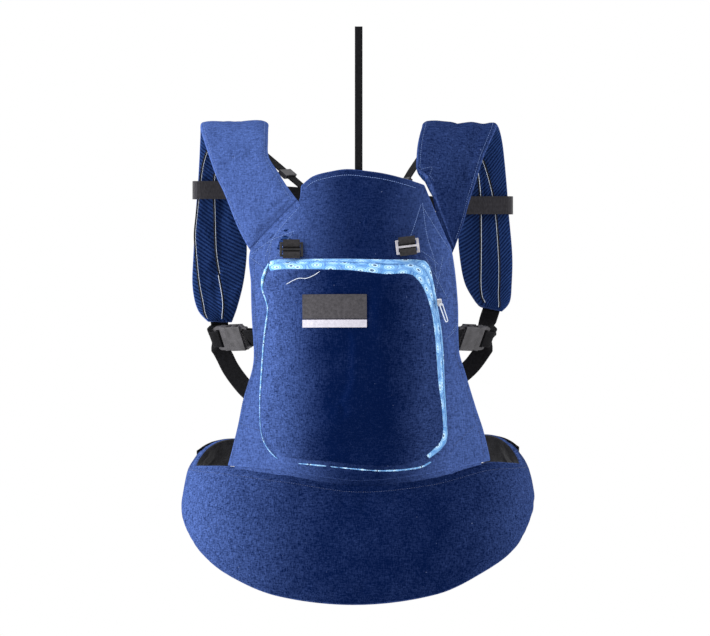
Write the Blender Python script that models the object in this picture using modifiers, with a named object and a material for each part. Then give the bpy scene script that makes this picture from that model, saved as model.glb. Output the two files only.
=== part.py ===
"""A soft baby carrier: curved body panel, padded waistband, two padded shoulder straps with their
webbing and buckles, a zipped front pocket and a thin hanging loop.

Sizes in this file are in millimetres and are turned into metres when a mesh is made.
X runs to the right as the panel's outer face is looked at, Z is up and the outer face points to -Y.
The origin is the centre of the waist loop, level with the seam between panel and waistband.
"""

import math

import bmesh
import bpy
from mathutils import Matrix, Vector

MM = 0.001
OBJECT_NAME = "soft_baby_carrier"

# Fabric thicknesses and the clearance left between sewn layers.
FABRIC = 1.2
GAP = 0.35
STRAP_PAD = 5.6
WAIST_PAD = 6.5
PANEL_PAD = 6.0

# Webbing widths and thickness.
WEBBING = 25.0
BELT_WEBBING = 36.0
CHEST_WEBBING = 20.0
WEBBING_THICK = 1.3

# Side-release buckles: width over the female body at scale 1, and the three scales used.
BUCKLE_WIDTH = 36.0
SIDE_SCALE = 1.0
WAIST_SCALE = 1.45
CHEST_SCALE = 0.82
BAR_HALF = 2.2

# The waist loop in plan: half width and half depth of its top and bottom edges.
WAIST_TOP = (226.0, 122.0)
WAIST_BOTTOM = (240.0, 134.0)
WAIST_END = 133.0

# Body panel: side edges, top edge and bottom seam, as (height, x) or (x, height).
PANEL_TOP = 398.0
LEFT_EDGE = [(0, -179), (24, -174), (68, -165), (108, -157), (148, -145), (172, -143), (222, -146),
             (264, -147), (309, -148), (330, -128), (352, -106), (377, -82), (398, -78)]
RIGHT_EDGE = [(0, 182), (24, 179), (61, 172), (98, 161), (144, 147), (172, 139), (241, 137),
              (309, 129), (330, 120), (352, 110.6), (377, 100), (398, 91)]
TOP_EDGE = [(-78, 398), (-62, 411), (-37, 418), (-15, 421), (8, 419), (36, 415), (64, 408), (92, 399)]
BOTTOM_SEAM = [(-190, 15), (-102, 7), (-1, -6), (89, 2), (182, 21)]
PANEL_DEPTH = [(-10, -124), (60, -139), (150, -150), (250, -149), (330, -137), (398, -119), (425, -111)]
PANEL_SAG = [(-10, .0014), (60, .0018), (150, .0024), (300, .0021), (425, .0022)]

# Shoulder straps: west edge and east edge at each station, from the panel over the top and down.
LEFT_STRAP = [
    ((-148.6, -97, 311), (-83.2, -111, 378.6)),
    ((-164, -88, 340), (-96, -103, 396)),
    ((-182, -81, 385), (-110, -94, 418)),
    ((-195, -73, 413), (-122, -83, 438)),
    ((-208, -61, 450), (-123, -69, 462)),
    ((-216, -43, 474), (-123, -47, 476)),
    ((-217, -18, 482), (-124, -20, 482)),
    ((-218, 8, 464), (-138, 12, 464)),
    ((-221, 26, 412), (-151, 36, 412)),
    ((-225, 32, 360), (-155, 44, 360)),
    ((-228, 30, 305), (-154, 42, 308)),
    ((-229, 20, 262), (-158, 30, 268)),
    ((-222, 8, 230), (-166, 14, 234)),
    ((-207, 2, 212), (-174, 6, 211)),
]
RIGHT_STRAP = [
    ((96, -101.5, 403.6), (131.4, -105.5, 310.6)),
    ((90, -97, 412.5), (144, -96, 346)),
    ((80.5, -91, 421), (152, -88, 374)),
    ((80, -84, 436), (160, -80, 398)),
    ((82, -71, 456), (172, -67, 436)),
    ((87, -49, 476), (188, -47, 472)),
    ((92, -20, 482), (193, -18, 481)),
    ((118, 12, 462), (200, 8, 458)),
    ((134, 36, 408), (206, 26, 404)),
    ((138, 44, 362), (209, 32, 364)),
    ((140, 42, 312), (214, 30, 305)),
    ((147, 30, 268), (213, 20, 264)),
    ((160, 14, 243), (210, 8, 240)),
    ((169, 6, 234), (199, 2, 226)),
]

# Front pocket: the outline of its face and of the gusset where it meets the panel, as (x, z).
POCKET_LEFT = [(30, -104), (60, -128), (97, -130), (131, -128), (186, -124), (228, -119),
               (255, -126), (279, -117)]
POCKET_RIGHT = [(30, 92), (46, 108), (58, 113), (97, 106.9), (128, 102), (159, 99.6), (190, 97.5),
                (225, 93.4), (252, 86), (266, 79), (276, 70)]
POCKET_RING = [
    ((-116, 280), (-120, 290)), ((-104, 281), (-112, 296)), ((-60, 281), (-60, 297)),
    ((-10, 279), (-10, 297)), ((35, 274), (40, 296)), ((64, 274), (80, 296)),
    ((76, 266), (94, 291)), ((84, 252), (101, 270)), ((91.4, 225), (109, 225)),
    ((95.5, 190), (114, 190)), ((97.6, 159), (116, 159)), ((100, 128), (117, 128)),
    ((104.9, 97), (118, 97)), ((111, 60), (121, 56)), ((105, 46), (114, 40)), ((90, 32), (97, 26)),
]
POCKET_DEPTH = 16.0


def track(keys):
    """A smooth function through (position, value) pairs; a value is a number or a Vector."""
    def slope(i):
        low, high = max(i - 1, 0), min(i + 1, len(keys) - 1)
        return (keys[high][1] - keys[low][1]) / (keys[high][0] - keys[low][0])

    def at(t):
        t = min(max(t, keys[0][0]), keys[-1][0])
        i = 0
        while i < len(keys) - 2 and keys[i + 1][0] <= t:
            i += 1
        (t0, p0), (t1, p1) = keys[i], keys[i + 1]
        span = t1 - t0
        s = (t - t0) / span
        start = p0 * (2 * s**3 - 3 * s**2 + 1) + slope(i) * (span * (s**3 - 2 * s**2 + s))
        return start + p1 * (3 * s**2 - 2 * s**3) + slope(i + 1) * (span * (s**3 - s**2))

    return at


def straight(keys):
    """A function that runs straight between (position, value) pairs."""
    def at(t):
        t = min(max(t, keys[0][0]), keys[-1][0])
        i = 0
        while i < len(keys) - 2 and keys[i + 1][0] <= t:
            i += 1
        (t0, p0), (t1, p1) = keys[i], keys[i + 1]
        return p0 + (p1 - p0) * ((t - t0) / (t1 - t0))

    return at


def through(points):
    """A smooth path through evenly numbered points, for t from 0 to 1."""
    last = len(points) - 1
    return track([(i / last, Vector(p)) for i, p in enumerate(points)])


def dome(t, ramp):
    """Rises from 0 at both ends of 0..1 to 1 over a ramp, as a quarter round."""
    edge = min(min(t, 1 - t) / ramp, 1)
    return math.sqrt(max(1 - (1 - edge) ** 2, 0))


def clear_scene():
    for item in list(bpy.data.objects):
        bpy.data.objects.remove(item)
    scene = bpy.context.scene
    parts = bpy.data.collections.new(OBJECT_NAME)
    cutters = bpy.data.collections.new("cutters")
    cutters.hide_render = True
    scene.collection.children.link(parts)
    scene.collection.children.link(cutters)
    scene.unit_settings.system = "METRIC"
    return parts, cutters


def paint(item, colour, roughness):
    material = bpy.data.materials.new(item.name)
    material.use_nodes = True
    shader = material.node_tree.nodes["Principled BSDF"]
    shader.inputs["Base Color"].default_value = (*colour, 1)
    shader.inputs["Roughness"].default_value = roughness
    material.diffuse_color = (*colour, 1)
    item.data.materials.append(material)


def closed_mesh(name, points, faces, colour, roughness=0.85, home=None):
    mesh = bpy.data.meshes.new(name)
    mesh.from_pydata([Vector(p) * MM for p in points], [], faces)
    shape = bmesh.new()
    shape.from_mesh(mesh)
    bmesh.ops.recalc_face_normals(shape, faces=shape.faces)
    shape.to_mesh(mesh)
    shape.free()
    mesh.shade_smooth()
    mesh.set_sharp_from_angle(angle=math.radians(40))
    item = bpy.data.objects.new(name, mesh)
    (home or PARTS).objects.link(item)
    if home is None:
        paint(item, colour, roughness)
    return item


def normal_of(surface, u, v):
    step = 0.004
    along_u = surface(min(u + step, 1), v) - surface(max(u - step, 0), v)
    along_v = surface(u, min(v + step, 1)) - surface(u, max(v - step, 0))
    return along_u.cross(along_v).normalized()


def slab(name, surface, us, vs, near, far, colour, roughness=0.85):
    """A closed sheet on surface(u, v), from the offset near(u, v) to far(u, v) along its normal."""
    columns, rows = len(us), len(vs)
    points = []
    for offset in (near, far):
        for v in vs:
            for u in us:
                points.append(surface(u, v) + normal_of(surface, u, v) * offset(u, v))
    count = columns * rows
    faces = []
    for j in range(rows - 1):
        for i in range(columns - 1):
            a = j * columns + i
            b, c, d = a + 1, a + columns + 1, a + columns
            faces += [(a, b, c), (a, c, d)]
            faces += [(a + count, c + count, b + count), (a + count, d + count, c + count)]
    rim = [i for i in range(columns)]
    rim += [j * columns + columns - 1 for j in range(1, rows)]
    rim += [(rows - 1) * columns + i for i in range(columns - 2, -1, -1)]
    rim += [j * columns for j in range(rows - 2, 0, -1)]
    for p, q in zip(rim, rim[1:] + rim[:1]):
        faces += [(p, q, q + count), (p, q + count, p + count)]
    return closed_mesh(name, points, faces, colour, roughness)


def constant(value):
    return lambda u, v: value


def loft(name, rings, colour, roughness=0.7, closed=False, bowed=False):
    """Joins equal rings of points; the ends are capped, or joined to each other when closed.

    When bowed, each twisted quad is split along the diagonal that lies further out, so that thin walls stay apart.
    """
    size = len(rings[0])
    points = [p for ring in rings for p in ring]
    faces = []
    last = len(rings) if closed else len(rings) - 1
    for j in range(last):
        here, there = j * size, (j + 1) % len(rings) * size
        for i in range(size):
            k = (i + 1) % size
            quad = [here + i, here + k, there + k, there + i]
            if bowed:
                a, b, c, d = (points[n] for n in quad)
                heart = sum((points[here + n] + points[there + n] for n in range(size)), Vector()) / size / 2
                if (a + c - b - d).dot(a + b + c + d - heart * 4) < 0:
                    quad = quad[1:] + quad[:1]
            faces += [tuple(quad[:3]), (quad[0], quad[2], quad[3])]
    if not closed:
        faces += [tuple(range(size)), tuple(range(len(points) - size, len(points)))]
    return closed_mesh(name, points, faces, colour, roughness)


def ribbon(name, path, width, colour, thick=WEBBING_THICK):
    """Webbing along a path of (centre, across) pairs, where across points along its width."""
    centres = [Vector(p) for p, _ in path]
    rings = []
    for i, (_, across) in enumerate(path):
        before = (centres[i] - centres[i - 1]).normalized() if i else None
        after = (centres[i + 1] - centres[i]).normalized() if i < len(path) - 1 else before
        before = before or after
        along = (before + after).normalized()
        side = Vector(across)
        side = (side - along * side.dot(along)).normalized()
        face = along.cross(side)
        spread = 1 / max(before.dot(along), 0.5)
        half, up = side * width / 2, face * thick / 2 * spread
        c = centres[i]
        rings.append([c - half - up, c + half - up, c + half + up, c - half + up])
    return loft(name, rings, colour, 0.6, bowed=True)


def cord(name, points, radius, colour, sides=2):
    curve = bpy.data.curves.new(name, "CURVE")
    curve.dimensions = "3D"
    curve.bevel_depth = radius * MM
    curve.bevel_resolution = sides
    curve.use_fill_caps = True
    spline = curve.splines.new("POLY")
    spline.points.add(len(points) - 1)
    for point, p in zip(spline.points, points):
        point.co = (*(Vector(p) * MM), 1)
    item = bpy.data.objects.new(name, curve)
    PARTS.objects.link(item)
    paint(item, colour, 0.5)
    return item


def frame_at(origin, along, across):
    """A matrix with local X along the first direction and local Y near the second one."""
    x = Vector(along).normalized()
    y = Vector(across)
    y = (y - x * y.dot(x)).normalized()
    z = x.cross(y)
    matrix = Matrix((x, y, z)).transposed().to_4x4()
    matrix.translation = Vector(origin)
    return matrix


def prism(name, outline, low, high, matrix, colour=None):
    """An outline in local X and Y raised from low to high; with no colour it is a cutter."""
    rings = [[matrix @ Vector((x, y, z)) for x, y in outline] for z in (low, high)]
    size = len(outline)
    faces = [tuple(range(size)), tuple(range(size, 2 * size))]
    faces += [(i, (i + 1) % size, (i + 1) % size + size, i + size) for i in range(size)]
    item = closed_mesh(name, rings[0] + rings[1], faces, colour, 0.4, None if colour else CUTTERS)
    if colour is None:
        item.hide_render = True
        item.display_type = "WIRE"
    return item


def block(name, low, high, matrix, colour=None):
    """A box between two local corners."""
    outline = [(low[0], low[1]), (high[0], low[1]), (high[0], high[1]), (low[0], high[1])]
    return prism(name, outline, low[2], high[2], matrix, colour)


def soften(item, width, segments=2):
    bevel = item.modifiers.new("rounded edges", "BEVEL")
    bevel.width = width * MM
    bevel.segments = segments
    bevel.limit_method = "ANGLE"
    bevel.angle_limit = math.radians(50)


def combine(item, other, operation):
    boolean = item.modifiers.new(f"{operation} {other.name}".lower(), "BOOLEAN")
    boolean.object = other
    boolean.operation = operation
    boolean.solver = "EXACT"


def scaled(points, scale):
    return [(x * scale, y * scale) for x, y in points]


def thin_ends(name, item, span, scale, m):
    """Leaves only a thin plate with the webbing bar at one end of a buckle half."""
    for side, low, high in (("above", BAR_HALF, 20), ("below", -20, -BAR_HALF)):
        cut = block(f"{name}_{side}", (span[0], -40 * scale, low * scale),
                    (span[1], 40 * scale, high * scale), m)
        combine(item, cut, "DIFFERENCE")


def buckle(name, origin, along, across, scale, colour):
    """A side-release buckle. The female half lies at +X of its mouth and the male half at -X."""
    m = frame_at(origin, along, across)
    s = scale
    half = BUCKLE_WIDTH / 2
    body = scaled([(0, -16.5), (1.5, -half), (27, -half), (30, -15.5), (34, -15), (34, 15),
                   (30, 15.5), (27, half), (1.5, half), (0, 16.5)], s)
    female = prism(f"{name}_female", body, -6 * s, 6 * s, m, colour)
    soften(female, 1.0 * s)
    mouth = block(f"{name}_mouth", (-2 * s, -20 * s, -3.6 * s), (21 * s, 20 * s, 3.6 * s), m)
    combine(female, mouth, "DIFFERENCE")
    slot = block(f"{name}_web_slot", (25.4 * s, -13.3 * s, -9 * s), (30.4 * s, 13.3 * s, 9 * s), m)
    combine(female, slot, "DIFFERENCE")
    thin_ends(name, female, (24.4 * s, 40 * s), s, m)
    base = scaled([(-0.4, -17), (-0.4, 17), (-7, half), (-18, 17.2), (-21, 15.5), (-21, -15.5),
                   (-18, -17.2), (-7, -half)], s)
    male = prism(f"{name}_male", base, -4.6 * s, 4.6 * s, m, colour)
    soften(male, 0.9 * s)
    tongue = block(f"{name}_tongue", (-3 * s, -2.8 * s, -2.6 * s), (17 * s, 2.8 * s, 2.6 * s), m)
    combine(male, tongue, "UNION")
    slot = block(f"{name}_male_slot", (-17.2 * s, -13.3 * s, -9 * s), (-10.6 * s, 13.3 * s, 9 * s), m)
    combine(male, slot, "DIFFERENCE")
    thin_ends(f"{name}_male", male, (-40 * s, -9.6 * s), s, m)
    arm = [(0.1, 7.4), (13, 6.4), (18, 8.4), (19.3, 11), (15, 17.4), (9, 17.6), (8.2, 11), (0.1, 10.9)]
    for side, sign in (("a", 1), ("b", -1)):
        outline = scaled([(x, y * sign) for x, y in arm], s)
        prong = prism(f"{name}_prong_{side}", outline, -2.9 * s, 2.9 * s, m, colour)
        soften(prong, 0.6 * s, 1)
    return m


def loop_over_bar(m, scale, half, reach, thick=WEBBING_THICK, tail_reach=None):
    """Centres of webbing folded round a buckle's end bar, from its near side to its far side."""
    bar, turn = (32.2, 27.6) if half == "female" else (-19.1, -13.8)
    away = math.copysign(1, bar)
    spread = BAR_HALF * scale + GAP + thick / 2 + 0.15
    bar, turn = bar * scale, turn * scale
    inner = turn + away * 2.5 * scale
    corner = turn + away * 0.6 * scale
    local = [(bar + away * reach, -spread), (inner, -spread), (corner, -spread * .7), (turn, 0),
             (corner, spread * .7), (inner, spread),
             (bar + away * (reach if tail_reach is None else tail_reach), spread)]
    return [m @ Vector((x, 0, z)) for x, z in local]


PARTS, CUTTERS = clear_scene()

DENIM = (0.022, 0.050, 0.155)
DENIM_LIGHT = (0.060, 0.110, 0.290)
LINING = (0.016, 0.040, 0.130)
BLACK = (0.012, 0.012, 0.014)
FOAM = (0.62, 0.62, 0.60)
PLASTIC = (0.060, 0.058, 0.066)
PRINT = (0.200, 0.380, 0.660)
PALE = (0.560, 0.700, 0.850)
GREY = (0.330, 0.330, 0.340)

# Body panel ---------------------------------------------------------------------------------

left_edge, right_edge = track(LEFT_EDGE), track(RIGHT_EDGE)
top_edge, bottom_seam = track(TOP_EDGE), track(BOTTOM_SEAM)
panel_depth, panel_sag = track(PANEL_DEPTH), track(PANEL_SAG)


def panel_y(x, z):
    return panel_depth(z) + panel_sag(z) * x * x


def on_panel(x, z, lift):
    """The point this far in front of the panel's outer face."""
    slope_x = (panel_y(x + 1, z) - panel_y(x - 1, z)) / 2
    slope_z = (panel_y(x, z + 1) - panel_y(x, z - 1)) / 2
    return Vector((x, panel_y(x, z), z)) + Vector((slope_x, -1, slope_z)).normalized() * lift


def panel(u, v):
    level = v * PANEL_TOP
    low = max(1 - level / 110, 0) ** 2
    high = max((level - 330) / (PANEL_TOP - 330), 0) ** 2
    x = left_edge(level) * (1 - u) + right_edge(level) * u
    z = level + (bottom_seam(x) + 0.6) * low
    z += (top_edge(x) - PANEL_TOP) * high
    return Vector((x, panel_y(x, z), z))


PANEL_US = [0, .03, .075, .12, .165, .25, .4, .6, .75, .835, .88, .925, .97, 1]
PANEL_VS = [z / PANEL_TOP for z in (0, 24, 50, 85, 120, 150, 185, 225, 268, 309, 330, 350, 366, 383, 398)]


def leg_pad(u, v):
    side = min(u, 1 - u)
    across = dome((side - .03) / .135, .35) if .03 < side < .165 else 0
    along = dome((v * PANEL_TOP - 50) / 218, .15) if 50 < v * PANEL_TOP < 268 else 0
    return across * along


def headrest_pad(u, v):
    across = dome((u - .12) / .76, .2) if .12 < u < .88 else 0
    along = dome((v * PANEL_TOP - 330) / 53, .4) if 330 < v * PANEL_TOP < 383 else 0
    return across * along


def panel_pad(u, v):
    return PANEL_PAD * max(leg_pad(u, v), headrest_pad(u, v))


def lining_face(u, v):
    return -FABRIC - 2 * GAP - 0.6 - panel_pad(u, v)


slab("panel_outer", panel, PANEL_US, PANEL_VS, constant(0), constant(-FABRIC), DENIM_LIGHT)
slab("panel_lining", panel, PANEL_US, PANEL_VS, lining_face,
     lambda u, v: lining_face(u, v) - FABRIC, LINING)


def pad_between(name, us, vs):
    slab(name, panel, us, vs, constant(-FABRIC - GAP), lambda u, v: lining_face(u, v) + GAP, FOAM)


pad_between("leg_pad_left", PANEL_US[1:5], PANEL_VS[2:9])
pad_between("leg_pad_right", PANEL_US[9:13], PANEL_VS[2:9])
pad_between("headrest_pad", PANEL_US[3:11], PANEL_VS[10:14])

# Waistband ----------------------------------------------------------------------------------

waist_top_z = track([(-133, 50), (-122, 47), (-112, 38), (-100, 22), (-90, 14), (-70, 14), (-51, 14),
                     (-26, 6), (0, -7), (25, 1), (50, 19), (70, 18), (90, 16), (100, 26), (112, 43),
                     (122, 53), (133, 56)])
waist_low_z = track([(-133, 12), (-120, 2), (-105, -20), (-90, -50), (-76, -80), (-64, -106),
                     (-47.5, -136), (-27, -163), (0, -174), (27, -160), (46, -131), (64, -100),
                     (76, -72), (90, -42), (105, -14), (120, 8), (133, 16)])
waist_tuck = track([(-133, 0), (-100, 2), (-60, 8), (0, 10), (60, 8), (100, 2), (133, 0)])


def waist(u, v):
    """The waistband's middle surface; u runs round from the left end and v up."""
    turn = (2 * u - 1) * WAIST_END
    angle = math.radians(turn)
    bulge = math.sin(math.pi * v) * waist_tuck(turn)
    half_x = WAIST_BOTTOM[0] + (WAIST_TOP[0] - WAIST_BOTTOM[0]) * v - 2 + bulge * .4
    half_y = WAIST_BOTTOM[1] + (WAIST_TOP[1] - WAIST_BOTTOM[1]) * v - 4 + bulge
    z = waist_low_z(turn) * (1 - v) + waist_top_z(turn) * v
    return Vector((half_x * math.sin(angle), -half_y * math.cos(angle), z))


WAIST_US = [0, .02, .05, .09, .13, .17, .21, .26, .32, .38, .44, .5,
            .56, .62, .68, .74, .79, .83, .87, .91, .95, .98, 1]
WAIST_VS = [0, .05, .14, .28, .5, .72, .86, .95, 1]


def waist_pad(u, v):
    return 0.2 + WAIST_PAD * dome(u, .05) * dome(v, .22)


slab("waistband_cover", waist, WAIST_US, WAIST_VS, waist_pad, lambda u, v: waist_pad(u, v) + FABRIC, DENIM)
slab("waistband_lining", waist, WAIST_US, WAIST_VS, lambda u, v: -waist_pad(u, v),
     lambda u, v: -waist_pad(u, v) - FABRIC, BLACK)
slab("waistband_foam", waist, WAIST_US[1:-1], WAIST_VS[1:-1], lambda u, v: GAP - waist_pad(u, v),
     lambda u, v: waist_pad(u, v) - GAP, FOAM)

# Waist belt webbing and buckle at the wearer's back ----------------------------------------------

BUCKLE_BACK = Vector((4, 142, 26))
waist_frame = buckle("waist_buckle", BUCKLE_BACK, (-1, 0, 0), (0, 0, 1), WAIST_SCALE, PLASTIC)


def belt(name, side, half):
    """One belt half: along the outside of the waistband's end, then round to the buckle."""
    path = []
    for turn in (112, 117, 122, 127, 132.5):
        u = 0.5 + side * turn / WAIST_END / 2
        p = waist(u, 0.5) + normal_of(waist, u, 0.5) * (waist_pad(u, 0.5) + FABRIC + GAP + 1.6)
        path.append((p, waist(u, 0.9) - waist(u, 0.1)))
    turn = loop_over_bar(waist_frame, WAIST_SCALE, half, 22, 1.4)[::-1]
    bend = track([(0, path[-1][0]), (.5, Vector((side * 118, 124, 30))), (1, turn[0])])
    path += [(bend(t / 5), (0, 0, 1)) for t in range(1, 5)]
    path += [(p, (0, 0, 1)) for p in turn]
    ribbon(name, path, BELT_WEBBING, BLACK, 1.4)


belt("belt_webbing_left", -1, "female")
belt("belt_webbing_right", 1, "male")

# Shoulder straps ------------------------------------------------------------------------------

STRAP_US = [0, .05, .16, .33, .5, .67, .84, .95, 1]
STRAP_TS = [0, .4, 1, 2, 3, 4, 4.6, 5.1, 5.5, 5.9, 6.3, 6.8, 7.4, 8, 9, 10, 11, 12, 12.6, 13]
STRAP_VS = [t / 13 for t in STRAP_TS]


def strap_surface(stations):
    west = through([a for a, _ in stations])
    east = through([b for _, b in stations])
    return lambda u, v: west(v) * (1 - u) + east(v) * u


def strap_pad(u, v):
    return 0.2 + STRAP_PAD * dome(u, .2) * dome(v, .05)


def strap_groove(u, v):
    """The lining side is thinner along the middle of the back part."""
    deep = track([(0, 0), (6.5 / 13, 0), (8 / 13, .45), (11 / 13, .6), (1, .2)])(v)
    return strap_pad(u, v) * (1 - deep * max(1 - abs(u - .5) / .17, 0))


def shoulder_strap(side, stations):
    surface = strap_surface(stations)
    slab(f"strap_cover_{side}", surface, STRAP_US, STRAP_VS, strap_pad,
         lambda u, v: strap_pad(u, v) + FABRIC, DENIM_LIGHT)
    slab(f"strap_lining_{side}", surface, STRAP_US, STRAP_VS, lambda u, v: -strap_groove(u, v),
         lambda u, v: -strap_groove(u, v) - FABRIC, LINING)
    slab(f"strap_foam_{side}", surface, STRAP_US[1:-1], STRAP_VS[1:-1],
         lambda u, v: GAP - strap_groove(u, v), lambda u, v: strap_pad(u, v) - GAP, FOAM)
    return surface


left_strap = shoulder_strap("left", LEFT_STRAP)
right_strap = shoulder_strap("right", RIGHT_STRAP)

# Rails that the chest strap runs on: one thin cord per strap, sewn in at the pad's end ---------

RAIL_LEFT = [(-.03, 12.9), (.13, 12), (.11, 11), (.03, 10), (-.01, 9.5), (0, 9), (.03, 8), (.08, 7.5),
             (.16, 7.2), (.25, 7.15), (.31, 7.35), (.31, 7.7), (.29, 8.1), (.35, 9), (.4, 10), (.53, 11),
             (.64, 12), (.6, 12.9)]
RAIL_RIGHT = [(.85, 12.9), (.72, 12), (.76, 11), (.77, 10), (.775, 9), (.72, 8.1), (.66, 7.6), (.6, 7.3),
              (.54, 7.3), (.49, 7.6), (.48, 8.1), (.465, 9), (.42, 10), (.35, 11), (.22, 12), (.18, 12.9)]
RAIL_RADIUS = 1.2


def rail(name, surface, stations):
    points = []
    smooth = through([(u, t, 0) for u, t in stations])
    for i in range(33):
        u, t, _ = smooth(i / 32)
        away = strap_pad(max(u, 0.05), t / 13) * .9 + FABRIC + RAIL_RADIUS + 2.2
        points.append(surface(u, t / 13) - normal_of(surface, min(max(u, 0), 1), t / 13) * away)
    cord(name, points, RAIL_RADIUS, BLACK, 1)


rail("rail_left", left_strap, RAIL_LEFT)
rail("rail_right", right_strap, RAIL_RIGHT)

# Chest strap: an elastic loop round each pad, webbing and a small buckle ------------------------


def pad_loop(name, surface, station, low, high):
    """A flat elastic ring round the pad and its rail. Returns its frame and its rear face's depth."""
    west, east = surface(0, station / 13), surface(1, station / 13)
    across = (east - west)
    across.z = 0
    half = across.length / 2 + 5
    across.normalize()
    rear = Vector((-across.y, across.x, 0))
    middle = (west + east) / 2
    thick = 1.5
    front_depth, rear_depth, corner = -14, 9.2, 7
    rings = []
    for grow, z in ((thick, low), (thick, high), (0, high), (0, low)):
        ring = []
        for cx, cy, start in ((half - corner, rear_depth - corner, 0), (corner - half, rear_depth - corner, 90),
                              (corner - half, front_depth + corner, 180), (half - corner, front_depth + corner, 270)):
            for k in range(4):
                angle = math.radians(start + 30 * k)
                offset = corner + grow
                flat = across * (cx + offset * math.cos(angle)) + rear * (cy + offset * math.sin(angle))
                ring.append(Vector((middle.x, middle.y, z)) + flat)
        rings.append(ring)
    loft(name, rings, BLACK, 0.7, closed=True)
    return middle, across, rear, rear_depth + thick, half


def rear_point(loop, along, z):
    middle, across, rear, depth, _ = loop
    p = middle + across * along + rear * (depth + GAP + 0.65)
    return Vector((p.x, p.y, z))


LOOP_LEFT_Z, LOOP_RIGHT_Z = 394, 373
loop_left = pad_loop("chest_loop_left", left_strap, 8.35, LOOP_LEFT_Z - 12.5, LOOP_LEFT_Z + 12.5)
loop_right = pad_loop("chest_loop_right", right_strap, 8.75, LOOP_RIGHT_Z - 12.5, LOOP_RIGHT_Z + 12.5)
chest_frame = buckle("chest_buckle", (-8, 66, 384), (-1, 0, 0.06), (0.06, 0, 1), CHEST_SCALE, PLASTIC)


def chest_webbing(name, loop, starts, half):
    path = [(p, (0, 0, 1)) for p in starts]
    turn = loop_over_bar(chest_frame, CHEST_SCALE, half, 14, 1.1)[::-1]
    path.append((path[-1][0].lerp(turn[0], .5), (0, 0, 1)))
    path += [(p, (0.06, 0, 1)) for p in turn]
    ribbon(name, path, CHEST_WEBBING, BLACK, 1.1)


chest_webbing("chest_webbing_left", loop_left,
              [rear_point(loop_left, a, LOOP_LEFT_Z) for a in (-12, 10, 32)], "female")
chest_webbing("chest_webbing_right", loop_right,
              [rear_point(loop_right, a, LOOP_RIGHT_Z) for a in (12, -10, -30)], "male")

# Side buckles, the webbing from the pads and its tails, and the anchors on the panel ------------

left_frame = buckle("side_buckle_left", (-176, -64, 190), (.82, -.57, .03), (.34, .3, -.9),
                    SIDE_SCALE, PLASTIC)
right_frame = buckle("side_buckle_right", (160, -60, 190), (-.77, -.64, .03), (.34, -.3, .9),
                     SIDE_SCALE, PLASTIC)


def shoulder_webbing(name, surface, frame, drop, tail):
    """Webbing sewn on the outside of the pad's end, folded round the male half's bar, and its tail."""
    width_way = frame.col[1].to_3d()
    path = []
    for t in (11.9, 12.4, 12.9):
        p = surface(.5, t / 13)
        p += normal_of(surface, .5, t / 13) * (strap_pad(.5, t / 13) + FABRIC + GAP + 2.2)
        path.append((p, surface(.9, t / 13) - surface(.1, t / 13)))
    path += drop
    path += [(p, width_way) for p in loop_over_bar(frame, SIDE_SCALE, "male", 9, tail_reach=5)]
    path += tail
    ribbon(name, path, WEBBING - 1, BLACK)


shoulder_webbing(
    "shoulder_webbing_left", left_strap, left_frame,
    [((-191, 11, 206), (1, 0, 0)), ((-192, 2, 202), (.95, .1, -.3)), ((-194, -10, 199), (.8, .2, -.6)),
     ((-198, -24, 196), (.6, .3, -.8)), ((-202, -37, 192), (.45, .3, -.9))],
    [((-199, -35, 187), (.42, .28, -.85)), ((-192, -28, 178), (.8, .1, -.5)), ((-184, -30, 165), (1, 0, .1)),
     ((-176, -32, 149), (.9, 0, .4)), ((-165, -35, 133), (.85, 0, .55)), ((-152, -41, 118), (.8, 0, .65)),
     ((-137, -49, 106), (.7, 0, .75)), ((-121, -56, 97), (.6, 0, .85))])
shoulder_webbing(
    "shoulder_webbing_right", right_strap, right_frame,
    [((180, 11, 215), (1, 0, 0)), ((177, 2, 205), (.95, -.1, .3)), ((178, -10, 200), (.8, -.2, .6)),
     ((182, -24, 196), (.6, -.3, .8)), ((186, -35, 192), (.45, -.3, .9))],
    [((183, -33, 187), (.42, -.28, .85)), ((176, -26, 178), (.8, -.1, .5)), ((167, -27, 165), (1, 0, -.1)),
     ((157, -29, 152), (.9, 0, -.4)), ((144, -34, 140), (.8, 0, -.65)), ((128, -43, 129), (.65, 0, -.8)),
     ((111, -50, 122), (.5, 0, -.9))])


def side_anchor(name, frame, inner_x, edge_x, up):
    """Short webbing sewn behind the panel's edge and folded round the female half's bar."""
    width_way = frame.col[1].to_3d()
    turn = loop_over_bar(frame, SIDE_SCALE, "female", 3)
    path = [(on_panel(inner_x, 187, -11.6), (0, 0, up)), (on_panel(edge_x, 188, -12.2), (0, 0, up))]
    path += [(p, width_way) for p in turn]
    path += [(on_panel(edge_x, 188, -18.6), (0, 0, up)), (on_panel(inner_x, 187, -15.6), (0, 0, up))]
    ribbon(name, path, WEBBING - 1, BLACK)


side_anchor("side_anchor_left", left_frame, -100, -122, -1)
side_anchor("side_anchor_right", right_frame, 94, 112, 1)

# Headrest adjusters: webbing from the straps to the back of the headrest, with a sliding lock ----


def adjuster(side, points, across, lock_at):
    way = through(points)
    ribbon(f"adjuster_webbing_{side}", [(way(i / 6), across) for i in range(7)], 19, BLACK)
    along = way(lock_at + .02) - way(lock_at - .02)
    frame = frame_at(way(lock_at), along, across)
    sleeve = block(f"adjuster_lock_{side}", (-7, -12.5, -3.4), (7, 12.5, 3.4), frame, PLASTIC)
    soften(sleeve, 0.8)
    combine(sleeve, block(f"adjuster_hole_{side}", (-12, -10.3, -1.5), (12, 10.3, 1.5), frame), "DIFFERENCE")


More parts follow.
